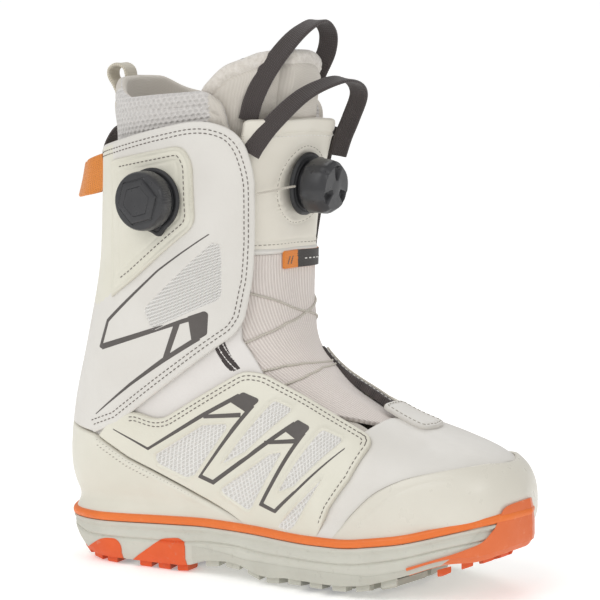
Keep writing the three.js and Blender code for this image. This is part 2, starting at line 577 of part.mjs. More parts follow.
// Lace runs across the tongue, each from the outer side to the inner side
const LACES = {
  lace_upper_lateral: [[2.6, -19.5, 231.4], [0.8, -30, 232.5], [-5, -38, 233]],
  lace_upper_medial: [[2.4, 23, 231.4], [0.6, 27, 232.5], [-2, 31, 233]],
  lace_cross_high: [[-12, -34.5, 166], [-1, -17, 160], [0.6, 3, 152.5], [-1, 20, 144.5]],
  lace_cross_low: [[-12, -36, 140], [-1, -20, 147.5], [3.4, 3, 153], [-3, 23, 159.5]],
  lace_instep_rear: [[2, -34, 122.5], [12, -22, 126], [21, -4, 128.5], [15.5, 19.5, 127.6]],
  lace_instep_front: [[13, -32, 117], [21, -20, 122], [26.5, -4, 125.2], [20.5, 20, 123.6]],
  lace_eyestay: [[22, 27, 123.6], [36, 24.5, 117], [56, 20, 108], [74, 14, 99.5]],
};

function laces() {
  return Object.entries(LACES).map(([name, route]) => mesh(name, tube(route, LACE, 10), 'lace', 0.6));
}

function laceGuides() {
  const guide = (name, at, turn) => {
    const ring = new THREE.ExtrudeGeometry(flatShape([[-5, 0, 1.5], [5, 0, 1.5], [5, 5, 2], [-5, 5, 2]]), {
      depth: 1.4, bevelEnabled: false, curveSegments: 3,
    });
    const piece = mesh(name, ring, 'charcoal', 0.8);
    piece.position.set(...at);
    piece.rotation.set(Math.PI / 2, 0, turn);
    return piece;
  };
  return [
    guide('lace_guide_lateral', [8, -37.5, 119.5], 0.4),
    guide('lace_guide_medial', [5, 31.5, 128], -0.3),
    guide('lace_guide_medial_high', [-7, 32, 144], -0.2),
  ];
}

// ---------------------------------------------------------------- lace dials
const DIAL_SEGMENTS = 16;
const DIAL_PROFILES = {           // closed [radius, height] outlines, turned about the dial's axis
  base: [[0, 0], [18.5, 0], [18.5, 1.6], [17, 2.5], [0, 2.5]],
  housing: [[0, 2.8], [13, 2.8], [13, 8.4], [10, 8.4], [10, 3.7], [0, 3.7]],
  spool: [[2.6, 4], [9.6, 4], [9.6, 4.8], [7, 5.3], [7, 7.2], [9.6, 7.7], [9.6, 8.4], [2.6, 8.4], [2.6, 4]],
  axle: [[0, 4], [2.2, 4], [2.2, 10.3], [0, 10.3]],
  carrier: [[2.6, 8.8], [13.2, 8.8], [13.2, 10.7], [2.6, 10.7], [2.6, 8.8]],
  knob: [[0, 11], [13.6, 11], [13.6, 5.6], [17, 5.6], [17.4, 8], [16.8, 14.5], [13.5, 17.6], [0, 18]],
};

function dial(prefix, place) {
  const group = new THREE.Group();
  for (const [part, profile] of Object.entries(DIAL_PROFILES)) {
    const points = profile.map(([r, z]) => new THREE.Vector2(r, z));
    const geometry = new THREE.LatheGeometry(points, DIAL_SEGMENTS);
    geometry.rotateX(Math.PI / 2);
    const turned = toGeometry(toSolid(geometryOf(trianglesOf(geometry))));
    const finish = part === 'axle' ? ['steel', 0.3, 1] : ['dial', 0.5, 0];
    group.add(mesh(`${prefix}_dial_${part}`, turned, ...finish));
  }
  place(group);
  return group;
}

// The triangles of a geometry, as lists of points
function trianglesOf(geometry) {
  const flat = geometry.index ? geometry.toNonIndexed() : geometry;
  const p = flat.attributes.position;
  return Array.from({ length: p.count / 3 }, (_, i) => [0, 1, 2].map((j) =>
    [p.getX(3 * i + j), p.getY(3 * i + j), p.getZ(3 * i + j)]));
}

function dials() {
  const { degToRad } = THREE.MathUtils;
  const lateral = dial('lateral', (group) => {
    group.position.set(...LATERAL_DIAL.at);
    group.rotation.set(Math.PI / 2, 0, 0);
  });
  const front = dial('front', (group) => {
    group.position.set(...FRONT_DIAL.at);
    group.rotation.set(0, Math.PI / 2 + degToRad(FRONT_DIAL.dip), 0);
  });
  return [lateral, front];
}

// ---------------------------------------------------------------- the whole boot
function snowboardBoot() {
  const design = new THREE.Group();
  design.add(...soleUnit(), ...shellPanels(), throatTab(), eyestay(), ...tonguePanels(), ...linerPieces());
  design.add(...straps(), ...laces(), ...laceGuides(), ...dials());
  design.updateMatrixWorld(true);
  const box = new THREE.Box3().setFromObject(design, true);
  const middle = box.getCenter(new THREE.Vector3());
  design.position.set(-middle.x, -middle.y, -box.min.z);
  const boot = new THREE.Group();
  boot.add(design);
  boot.updateMatrixWorld(true);
  return boot;
}

export default snowboardBoot();
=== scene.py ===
"""Snowboard boot for the right foot: the looks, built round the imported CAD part.

Shapes are worked out in the CAD source's millimetres, +X to the toe, +Y to the inner (medial) side
and +Z up, and to_row() turns them into the row frame's metres.
"""
import math

import bmesh
import bpy
import numpy as np
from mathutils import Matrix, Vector
from mathutils.geometry import delaunay_2d_cdt


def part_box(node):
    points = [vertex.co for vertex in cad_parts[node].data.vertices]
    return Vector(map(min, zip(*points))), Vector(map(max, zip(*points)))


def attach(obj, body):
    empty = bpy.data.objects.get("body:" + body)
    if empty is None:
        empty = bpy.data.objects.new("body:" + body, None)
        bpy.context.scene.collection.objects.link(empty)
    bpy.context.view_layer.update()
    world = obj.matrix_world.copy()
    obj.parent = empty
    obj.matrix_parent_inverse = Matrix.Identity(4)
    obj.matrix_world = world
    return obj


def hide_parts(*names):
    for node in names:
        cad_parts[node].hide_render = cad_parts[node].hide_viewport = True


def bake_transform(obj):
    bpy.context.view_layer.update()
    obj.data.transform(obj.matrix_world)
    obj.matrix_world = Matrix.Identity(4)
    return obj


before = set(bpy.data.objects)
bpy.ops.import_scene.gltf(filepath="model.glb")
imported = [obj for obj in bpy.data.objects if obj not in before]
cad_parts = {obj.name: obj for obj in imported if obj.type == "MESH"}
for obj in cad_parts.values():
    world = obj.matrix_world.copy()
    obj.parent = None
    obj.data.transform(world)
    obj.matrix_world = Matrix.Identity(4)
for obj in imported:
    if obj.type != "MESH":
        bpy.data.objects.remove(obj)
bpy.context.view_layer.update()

# ------------------------------------------------------------------ frame and driving dimensions
LATERAL_DIAL = np.array([-62.5, -62.8, 223.0])    # foot of the lateral dial, where it meets the cuff
FRONT_DIAL = np.array([1.5, 2, 231.0])          # foot of the front dial, on the tongue
FRONT_DIAL_DIP = math.radians(5)
PANEL = (0.3, 2.7)                              # skins: inner and outer distance from the base surface
BASE = (-2.3, -0.4)
PATCH = (2.8, 4.5)
LINER_OUTSIDE = -6.2
LACE_DIAMETER = 1.4
WEBBING_THICKNESS = 1.8
WELD_GAP = 2e-5                                 # metres
OUTLINE_STEP = 1.4                              # between the points of an outline or a line


def row_shift():
    """The CAD part's own shift, found from the lateral dial's base."""
    low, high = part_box("lateral_dial_base")
    centre = [500 * (low.x + high.x), 1000 * high.y, 500 * (low.z + high.z)]
    return np.array(centre) - LATERAL_DIAL


SHIFT = row_shift()


def to_row(points):
    return (np.asarray(points, float) + SHIFT) / 1000


# Cross-sections from the toe, over the instep and up the leg: the sole or back line (bx, bz), the top
# or front line (tx, tz), the middle yc, the half width w, where it is widest k, and how square its
# top and bottom halves are, nt and nb.
STATIONS = np.array([
    [147, 42, 146, 60, 3, 0, 0.4, 2.2, 3.5],
    [140, 40, 139, 75, 3, 27, 0.38, 2.2, 3.5],
    [125, 37, 122, 84, 2, 41.5, 0.36, 2.4, 3.6],
    [96, 32, 98, 91, 2, 52, 0.34, 2.4, 4],
    [60, 29, 73, 99, 0, 54, 0.34, 2.3, 4.2],
    [20, 28, 48, 111, -1, 51, 0.36, 2.2, 4.2],
    [-24, 28, 22, 125, -1, 46, 0.4, 2.2, 4],
    [-82, 28, 5, 143, -1, 45, 0.42, 2.3, 3.6],
    [-131, 28, -2, 164, -1, 47, 0.45, 2.3, 3],
    [-151, 45, -4, 184, -1, 50, 0.46, 2.4, 2.5],
    [-151, 82, -3, 203, -1, 52, 0.48, 2.4, 2.3],
    [-140, 126, -1, 221, -1, 54, 0.5, 2.4, 2.3],
    [-129, 172, 2, 240, -1, 56, 0.5, 2.4, 2.3],
    [-126, 214, 6, 256, -1, 57, 0.5, 2.4, 2.3],
    [-125, 250, 10, 270, -1, 58, 0.5, 2.4, 2.3],
    [-126, 285, 12, 300, -1, 58, 0.5, 2.4, 2.3],
    [-128, 320, 12, 335, -1, 58, 0.5, 2.4, 2.3],
])
LAST = len(STATIONS) - 1
HALF_WIDTH = 5


# ------------------------------------------------------------------ curves
def cubic(p0, p1, p2, p3, f):
    return 0.5 * (2 * p1 + (p2 - p0) * f + (2 * p0 - 5 * p1 + 4 * p2 - p3) * f**2
                  + (3 * p1 - p0 - 3 * p2 + p3) * f**3)


def spline(points, u):
    """Smooth curve through points, with u from 0 to 1."""
    points = np.asarray(points, float)
    rows = np.vstack([2 * points[0] - points[1], points, 2 * points[-1] - points[-2]])
    x = np.clip(np.asarray(u, float), 0, 1) * (len(points) - 1)
    i = np.minimum(x.astype(int), len(points) - 2)
    f = (x - i)[..., None]
    return cubic(rows[i], rows[i + 1], rows[i + 2], rows[i + 3], f)


def smoothstep(x, low, high):
    f = np.clip((x - low) / (high - low), 0, 1)
    return f * f * (3 - 2 * f)


def bump_at(x, centre, width):
    return np.exp(-((x - centre) / width) ** 2)


def run_along(points):
    """Distance along a line at each of its points."""
    return np.concatenate([[0], np.cumsum(np.linalg.norm(np.diff(points, axis=0), axis=1))])


def resample(points, step, closed=False):
    """The same line with even steps."""
    points = np.asarray(points, float)
    if closed:
        points = np.vstack([points, points[:1]])
    run = run_along(points)
    count = max(2, int(round(run[-1] / step)) + 1)
    at = np.linspace(0, run[-1], count)
    line = np.stack([np.interp(at, run, points[:, k]) for k in range(points.shape[1])], -1)
    return line[:-1] if closed else line


def height_at(line, x):
    """Height along the sole at x, from a line of [x, z] points with its corners eased."""
    line = np.asarray(line, float)
    return np.mean([np.interp(x + d, line[:, 0], line[:, 1]) for d in np.linspace(-7, 7, 9)], axis=0)


# ------------------------------------------------------------------ the boot's base surface
# A point is given by t, along the stations, and q, the share of half the girth from the front (0)
# to the back or sole (1 on the medial side, -1 on the lateral side).
ROWS_PER_STATION = 8
GIRTH = 96


def sections(t):
    first = STATIONS[1].copy()
    first[HALF_WIDTH] *= -1
    rows = np.vstack([first, STATIONS, 2 * STATIONS[-1] - STATIONS[-2]])
    t = np.clip(np.asarray(t, float), 0, LAST)
    i = np.minimum(t.astype(int), LAST - 1)
    return cubic(rows[i], rows[i + 1], rows[i + 2], rows[i + 3], (t - i)[..., None])


def girth_table():
    """Height and half width at even steps round each section, with one mirrored row past each end."""
    ease = np.linspace(0, 1, 500)
    quarter = ease**2 * (3 - 2 * ease) * math.pi / 2
    angle = np.concatenate([quarter, math.pi - quarter[-2::-1]])
    c, s = np.cos(angle), np.sin(angle)
    up_rows, side_rows = [], []
    for row in sections(np.linspace(0, LAST, LAST * ROWS_PER_STATION + 1)):
        bx, bz, tx, tz, _, w, k, nt, nb = row
        length = math.hypot(tx - bx, tz - bz)
        n = np.where(c > 0, nt, nb)
        reach = np.where(c > 0, (1 - k) * length, k * length)
        up = np.sign(c) * np.abs(c) ** (2 / n) * reach + k * length
        side = np.abs(s) ** (2 / n) * w
        run = np.concatenate([[0], np.cumsum(np.hypot(np.diff(up), np.diff(side)))])
        even = np.linspace(0, run[-1], GIRTH + 1)
        up_rows.append(np.interp(even, run, up))
        side_rows.append(np.interp(even, run, side))
    up, side = np.array(up_rows), np.array(side_rows)
    side[:, 0] = side[:, -1] = 0
    up = np.pad(up, ((0, 0), (1, 1)), mode="reflect")
    side = np.pad(side, ((0, 0), (1, 1)), mode="reflect")
    side[:, 0] *= -1
    side[:, -1] *= -1
    up = np.vstack([up[1], up, 2 * up[-1] - up[-2]])
    side = np.vstack([-side[1], side, 2 * side[-1] - side[-2]])
    return up, side


UP_TABLE, SIDE_TABLE = girth_table()


def table_value(table, t, q):
    """Smooth reading of a girth table at stations t and girth shares q from 0 to 1."""
    x = np.clip(t, 0, LAST) * ROWS_PER_STATION
    i = np.minimum(x.astype(int), LAST * ROWS_PER_STATION - 1)
    y = np.clip(q, 0, 1) * GIRTH
    j = np.minimum(y.astype(int), GIRTH - 1)
    rows = [cubic(*(table[i + a, j + b] for b in range(4)), y - j) for a in range(4)]
    return cubic(*rows, x - i)


def surface(t, q):
    t, q = np.broadcast_arrays(np.asarray(t, float), np.asarray(q, float))
    row = sections(t)
    bx, bz, tx, tz, yc = np.moveaxis(row[..., :5], -1, 0)
    length = np.hypot(tx - bx, tz - bz)
    up = table_value(UP_TABLE, t, np.abs(q))
    side = table_value(SIDE_TABLE, t, np.abs(q)) * np.sign(q)
    return np.stack([bx + (tx - bx) / length * up, yc + side, bz + (tz - bz) / length * up], -1)


def normals(t, q):
    """Unit outward normals of the base surface."""
    step = 4e-3
    t, q = np.asarray(t, float), np.asarray(q, float)
    t_low, t_high = np.clip(t - step, 0, LAST), np.clip(t + step, 0, LAST)
    side = np.where(q < 0, -1.0, 1.0)
    q_low = np.clip(np.abs(q) - step, 1e-4, 1) * side
    q_high = np.clip(np.abs(q) + step, 0, 1 - 1e-4) * side
    along = surface(t_high, q) - surface(t_low, q)
    around = (surface(t, q_high) - surface(t, q_low)) * side[..., None]
    n = np.cross(around, along)
    return n / np.maximum(np.linalg.norm(n, axis=-1, keepdims=True), 1e-9)


def skin(t, q, height=0.0):
    """Points at a height above the base surface."""
    return surface(t, q) + normals(t, q) * np.asarray(height, float)[..., None]


SCAN = np.linspace(0, LAST, LAST * 60 + 1)
SCAN_ROWS = sections(SCAN)


def side_view(x, z, side):
    """(t, q) of the base surface's point seen at x, z from the side: 'L' lateral or 'M' medial."""
    bx, bz, tx, tz = SCAN_ROWS[:, :4].T
    cross = (tx - bx) * (z - bz) - (tz - bz) * (x - bx)
    change = np.nonzero(np.sign(cross[:-1]) != np.sign(cross[1:]))[0]
    i = change[0] if len(change) else int(np.abs(cross[:-1]).argmin())
    f = np.clip(cross[i] / (cross[i] - cross[i + 1] + 1e-12), 0, 1)
    t = SCAN[i] + f * (SCAN[i + 1] - SCAN[i])
    bx, bz, tx, tz = sections(t)[:4]
    length = math.hypot(tx - bx, tz - bz)
    up = ((x - bx) * (tx - bx) + (z - bz) * (tz - bz)) / length
    shares = np.linspace(0, 1, GIRTH + 1)
    ups = table_value(UP_TABLE, np.full(GIRTH + 1, t), shares)
    q = float(np.interp(-up, -ups, shares))
    return t, -q if side == "L" else q


# ------------------------------------------------------------------ charts: flat maps of the surface
ALONG_MM, AROUND_MM = 35.0, 170.0      # about how far one unit of t and of q reach
TIP_RING = 0.5


def front_chart(t, q):
    return np.stack([t * ALONG_MM, q * AROUND_MM], -1)


def from_front(p):
    return p[..., 0] / ALONG_MM, p[..., 1] / AROUND_MM


def back_chart(t, q):
    return np.stack([t * ALONG_MM, np.where(q < 0, q + 2, q) * AROUND_MM], -1)


def from_back(p):
    q = p[..., 1] / AROUND_MM
    return p[..., 0] / ALONG_MM, np.where(q > 1, q - 2, q)


def toe_chart(t, q):
    """Rings round the tip of the toe, where t is the ring and q the direction."""
    radius = (t + TIP_RING) * ALONG_MM
    return np.stack([radius * np.cos(q * math.pi), radius * np.sin(q * math.pi)], -1)


def from_toe(p):
    radius = np.hypot(p[..., 0], p[..., 1]) / ALONG_MM
    return np.maximum(radius - TIP_RING, 0), np.arctan2(p[..., 1], p[..., 0]) / math.pi


CHARTS = {"front": (front_chart, from_front), "back": (back_chart, from_back),
          "toe": (toe_chart, from_toe)}


def rounded(points):
    """Corners with a radius, as [x, z, radius], turned into short curves."""
    result = []
    n = len(points)
    for i, point in enumerate(points):
        radius = point[2] if len(point) > 2 else 0
        here = np.array(point[:2], float)
        if not radius:
            result.append(here)
            continue
        ends = []
        for other in (points[i - 1], points[(i + 1) % n]):
            edge = np.array(other[:2], float) - here
            reach = np.linalg.norm(edge)
            ends.append(here + edge / reach * min(radius, 0.45 * reach))
        for f in np.linspace(0, 1, 7):
            result.append((1 - f) ** 2 * ends[0] + 2 * f * (1 - f) * here + f * f * ends[1])
    return result


def one_side(points, side, step=OUTLINE_STEP):
    """A closed side-view outline on one side of the boot, as (t, q) rows."""
    line = resample(np.array(rounded(points)), step, closed=True)
    return np.array([side_view(x, z, side) for x, z in line])


def side_line(points, side, step=OUTLINE_STEP):
    """An open side-view line on one side of the boot, as (t, q) rows."""
    return np.array([side_view(x, z, side) for x, z in resample(np.array(points, float), step)])


def both_sides(points, chart, other=None):
    """A band that crosses the front or back: one open side-view line on the lateral side, and it or
    another line back again on the medial side. Its ends are joined straight across in the chart."""
    lateral = side_line(np.array(rounded(points)), "L")
    medial = side_line(np.array(rounded(other or points)), "M")[::-1]
    to_flat, from_flat = CHARTS[chart]
    corners = [lateral, medial]
    result = []
    for i, part in enumerate(corners):
        result.append(part)
        a = to_flat(*part[-1])
        b = to_flat(*corners[(i + 1) % 2][0])
        bridge = resample(np.array([a, b]), OUTLINE_STEP)[1:-1]
        if len(bridge):
            result.append(np.stack(from_flat(bridge), -1))
    return np.vstack(result)


# ------------------------------------------------------------------ meshes
def add_mesh(name, verts, faces, material, smooth_angle=40, materials=(), face_material=None):
    """A mesh object from design millimetres. Every face is shaded smooth up to smooth_angle."""
    data = bpy.data.meshes.new(name)
    data.from_pydata(to_row(verts).tolist(), [], [list(map(int, f)) for f in faces])
    data.update()
    data.shade_smooth()
    data.set_sharp_from_angle(angle=math.radians(smooth_angle))
    obj = bpy.data.objects.new(name, data)
    bpy.context.scene.collection.objects.link(obj)
    for m in (material, *materials):
        data.materials.append(m)
    if face_material is not None:
        data.polygons.foreach_set("material_index", np.asarray(face_material, np.int32))
    return obj


def set_flat(obj, values):
    """Stores each vertex's own flat coordinates in millimetres, for weaves and ribs."""
    data = np.zeros((len(obj.data.vertices), 3), np.float32)
    values = np.asarray(values, np.float32)
    data[:, : values.shape[1]] = values
    attribute = obj.data.attributes.new("flat", "FLOAT_VECTOR", "POINT")
    attribute.data.foreach_set("vector", data.ravel())


def set_edge(obj, distance):
    """Stores each vertex's distance from its panel's edge in millimetres, for wear and dirt."""
    attribute = obj.data.attributes.new("edge", "FLOAT", "POINT")
    attribute.data.foreach_set("value", np.asarray(distance, np.float32))


def inside(points, polygon):
    """True for each flat point inside a closed polygon."""
    x, y = points[:, 0][:, None], points[:, 1][:, None]
    x0, y0 = polygon[:, 0][None], polygon[:, 1][None]
    x1, y1 = np.roll(polygon, -1, 0).T[0][None], np.roll(polygon, -1, 0).T[1][None]
    spans = (y0 > y) != (y1 > y)
    slope = (x1 - x0) / np.where(y1 == y0, 1e-12, y1 - y0)
    return np.sum(spans & (x < x0 + slope * (y - y0)), axis=1) % 2 == 1


def distance_to(points, line, closed=True):
    """Distance from each point to a polyline, all in space."""
    a = line
    b = np.roll(line, -1, 0)
    if not closed:
        a, b = a[:-1], b[:-1]
    best = np.full(len(points), 1e9)
    edge = b - a
    size = np.maximum((edge**2).sum(1), 1e-9)
    for start in range(0, len(points), 2000):
        chunk = points[start:start + 2000]
        rel = chunk[:, None] - a[None]
        f = np.clip((rel * edge[None]).sum(-1) / size, 0, 1)
        gap = rel - f[..., None] * edge[None]
        best[start:start + 2000] = np.sqrt((gap**2).sum(-1).min(1))
    return best


def shifted(tq, chart, distance, closed=True):
    """A line on the surface moved sideways by distance millimetres: + is to the left in the chart."""
    to_flat, from_flat = CHARTS[chart]
    flat = to_flat(tq[:, 0], tq[:, 1])
    ahead, behind = np.roll(flat, -1, 0), np.roll(flat, 1, 0)
    if not closed:
        ahead[-1], behind[0] = flat[-1], flat[0]
    tangent = ahead - behind
    tangent /= np.maximum(np.linalg.norm(tangent, axis=1, keepdims=True), 1e-9)
    here = surface(tq[:, 0], tq[:, 1])
    unit = 0.5
    columns = []
    for axis in (np.array([1.0, 0]), np.array([0, 1.0])):
        moved = surface(*from_flat(flat + axis * unit))
        columns.append((moved - here) / unit)
    along = columns[0] * tangent[:, :1] + columns[1] * tangent[:, 1:]
    normal = np.cross(columns[0], columns[1])
    across = np.cross(normal, along)
    across /= np.maximum(np.linalg.norm(across, axis=1, keepdims=True), 1e-9)
    aa = (columns[0] ** 2).sum(1)
    bb = (columns[1] ** 2).sum(1)
    ab = (columns[0] * columns[1]).sum(1)
    ra, rb = (columns[0] * across).sum(1), (columns[1] * across).sum(1)
    det = np.maximum(aa * bb - ab * ab, 1e-6)
    step = np.stack([(ra * bb - rb * ab) / det, (rb * aa - ra * ab) / det], -1)
    return np.stack(from_flat(flat + step * distance), -1)


def orientation(flat):
    """+1 when a closed flat line runs anticlockwise."""
    ahead = np.roll(flat, -1, 0)
    return 1 if np.sum(flat[:, 0] * ahead[:, 1] - ahead[:, 0] * flat[:, 1]) > 0 else -1


EDGE_RINGS = (0.35, 0.8, 1.4, 2.2, 3.2, 4.4)     # where a panel's edge has rows of vertices
STITCH_LIFT = 0.1


class Skin:
    """One panel of the boot: a closed thin body over part of the surface, with a rolled edge."""

    def __init__(self, outline, layer, chart="front", roll=1.3, pitch=2.8, features=(),
                 flush=False):
        self.flush = flush
        self.outline, self.layer, self.chart, self.roll = outline, layer, chart, roll
        self.features = features
        self.soft_inside = False
        self.sink = None
        self.to_flat, self.from_flat = CHARTS[chart]
        self.flat_outline = self.to_flat(outline[:, 0], outline[:, 1])
        self.sign = orientation(self.flat_outline)
        self.base_outline = surface(outline[:, 0], outline[:, 1])
        self.hole = None
        if chart == "toe":
            turn = np.linspace(-math.pi, math.pi, 97)[:-1]
            ring = TIP_RING * ALONG_MM
            self.hole = np.stack([ring * np.cos(turn), ring * np.sin(turn)], -1)
        self.triangulate(pitch)

    def extra_points(self):
        lines = [(self.outline, True, EDGE_RINGS, (self.sign,))]
        for f in self.features:
            lines.append((f["line"], f["closed"], f.get("rings", (0.01, 0.7, 1.4, 2.2)), (1, -1)))
        points = []
        for line, closed, rings, signs in lines:
            for distance in rings:
                for sign in signs:
                    moved = shifted(line, self.chart, sign * distance, closed)
                    keep = distance_to(surface(moved[:, 0], moved[:, 1]),
                                       surface(line[:, 0], line[:, 1]), closed) > 0.82 * distance
                    points.append(self.to_flat(moved[keep, 0], moved[keep, 1]))
        return np.vstack(points)

    def triangulate(self, pitch):
        low, high = self.flat_outline.min(0), self.flat_outline.max(0)
        columns = np.arange(low[0], high[0], pitch)
        rows = np.arange(low[1], high[1], pitch * 0.866)
        grid = np.stack(np.meshgrid(columns, rows), -1)
        grid[1::2, :, 0] += pitch / 2
        grid = grid.reshape(-1, 2)
        grid = grid[inside(grid, self.flat_outline)]
        away = distance_to(surface(*self.from_flat(grid)), self.base_outline) > EDGE_RINGS[-1] + 1
        for f in self.features:
            line = surface(f["line"][:, 0], f["line"][:, 1])
            reach = max(f.get("rings", (2.2,))) + 0.8
            away &= distance_to(surface(*self.from_flat(grid)), line, f["closed"]) > reach
        extra = self.extra_points()
        extra = extra[inside(extra, self.flat_outline)]
        close = distance_to(surface(*self.from_flat(extra)), self.base_outline) > 0.28
        inner = np.vstack([grid[away], extra[close]])
        if self.hole is not None:
            inner = inner[~inside(inner, self.hole * 1.02)]
        inner = thin_out(inner, surface(*self.from_flat(inner)), 0.35)
        loops = [self.flat_outline] + ([self.hole] if self.hole is not None else [])
        fixed = np.vstack(loops)
        edges, start = [], 0
        for loop in loops:
            n = len(loop)
            edges += [(start + i, start + (i + 1) % n) for i in range(n)]
            start += n
        points = [Vector(p) for p in np.vstack([fixed, inner])]
        verts, _, faces, _, _, _ = delaunay_2d_cdt(points, edges, [], 0, 1e-5)
        self.flat = np.array([tuple(v) for v in verts])
        faces = np.array([f for f in faces if len(f) == 3])
        middle = self.flat[faces].mean(1)
        keep = inside(middle, self.flat_outline)
        if self.hole is not None:
            keep &= ~inside(middle, self.hole)
        self.faces = faces[keep]
        self.t, self.q = self.from_flat(self.flat)
        self.base = surface(self.t, self.q)
        self.normal = normals(self.t, self.q)
        self.edge = distance_to(self.base, self.base_outline)

    def raise_for(self, relief):
        """Height of the outer face at every vertex: rolled at the edge, with the features' relief."""
        low, high = self.layer
        top = np.full(len(self.base), float(high))
        roll = min(self.roll, (high - low) / (2 if self.soft_inside else 1) - 0.1)
        into = np.clip(roll - self.edge, 0, roll)
        top -= roll - np.sqrt(np.maximum(roll**2 - into**2, 0))
        for f in self.features:
            line = surface(f["line"][:, 0], f["line"][:, 1])
            away = distance_to(self.base, line, f["closed"])
            if f["closed"]:
                polygon = self.to_flat(f["line"][:, 0], f["line"][:, 1])
                away = np.where(inside(self.flat, polygon), -away, away)
            top += f["profile"](away)
        if relief is not None:
            top += relief(self)
        return top

    def build(self, name, material, relief=None, materials=(), region=None, lining=0):
        top = self.raise_for(relief)
        low = np.full(len(top), float(self.layer[0]))
        if self.soft_inside:
            into = np.clip(self.roll - self.edge, 0, self.roll)
            low += 0.95 * (self.roll - np.sqrt(np.maximum(self.roll**2 - into**2, 0)))
        if self.sink is not None:
            top, low = top + self.sink(self.base), low + self.sink(self.base)
        n = len(self.base)
        verts = np.vstack([self.base + self.normal * top[:, None],
                           self.base + self.normal * low[:, None]])
        if self.flush:
            verts = flared(verts)
        a, b, c = self.base[self.faces[:, 0]], self.base[self.faces[:, 1]], self.base[self.faces[:, 2]]
        facing = (np.cross(b - a, c - a) * self.normal[self.faces[:, 0]]).sum(1)
        outer = np.where(facing[:, None] > 0, self.faces, self.faces[:, ::-1])
        inner = outer[:, ::-1] + n
        rim = rim_edges(outer)
        walls = np.array([[j, i, i + n, j + n] for i, j in rim])
        faces = [*outer.tolist(), *inner.tolist(), *walls.tolist()]
        which = None
        if region is not None:
            chosen = region(self, outer)
            which = np.concatenate([chosen, np.full(len(inner), lining), np.zeros(len(walls))])
        obj = add_mesh(name, verts, faces, material, materials=materials, face_material=which)
        scaled = np.stack([self.flat[:, 0], self.flat[:, 1], top], -1)
        set_flat(obj, np.vstack([scaled, scaled]))
        set_edge(obj, np.concatenate([self.edge, self.edge]))
        if self.hole is not None:
            weld(obj)
        return obj


def flared(points):
    """Points of the upper eased outwards where they come down to the sole, so that they meet it."""
    rise = points[:, 2] - stripe(points[:, 0])
    share = smoothstep(-rise, -17, -4)
    moved = points.copy()
    for i in np.nonzero(share > 0)[0]:
        gap = PLAN - points[i, :2]
        near = int((gap**2).sum(1).argmin())
        short = float(gap[near] @ PLAN_OUT[near]) - 1.3
        moved[i, :2] += PLAN_OUT[near] * max(short, 0.0) * share[i]
    return moved


def thin_out(flat, points, gap):
    """Drops points that crowd an earlier one, so that no sliver triangles form."""
    cells, keep = {}, []
    keys = np.floor(points / gap).astype(int)
    for i, key in enumerate(map(tuple, keys)):
        if key not in cells:
            cells[key] = i
            keep.append(i)
    return flat[keep]


def rim_edges(faces):
    """Directed edges used by one triangle only."""
    seen = {}
    for a, b, c in faces.tolist():
        for edge in ((a, b), (b, c), (c, a)):
            seen[edge] = True
    return [e for e in seen if (e[1], e[0]) not in seen]


def weld(obj):
    """Joins the vertices that meet round a closed hole."""
    work = bmesh.new()
    work.from_mesh(obj.data)
    bmesh.ops.remove_doubles(work, verts=work.verts, dist=WELD_GAP)
    work.to_mesh(obj.data)
    work.free()


def place(obj, body="root", replaces=()):
    """Puts a finished piece on its body and the CAD nodes it stands for."""
    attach(obj, body)
    if replaces:
        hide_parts(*replaces)
    return obj


def bend(obj, bodies, start, end, slot, replaces=()):
    """Bakes a finished piece's transform into its mesh and hides the CAD nodes it replaces.
    The two bodies and the stretch from start to end are not used.
    """
    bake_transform(obj)
    if replaces:
        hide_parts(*replaces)


# ------------------------------------------------------------------ materials
def linear(colour):
    """A #RRGGBB colour as linear RGBA."""
    parts = [int(colour[i:i + 2], 16) / 255 for i in (1, 3, 5)]
    return [*(c / 12.92 if c <= 0.04045 else ((c + 0.055) / 1.055) ** 2.4 for c in parts), 1.0]


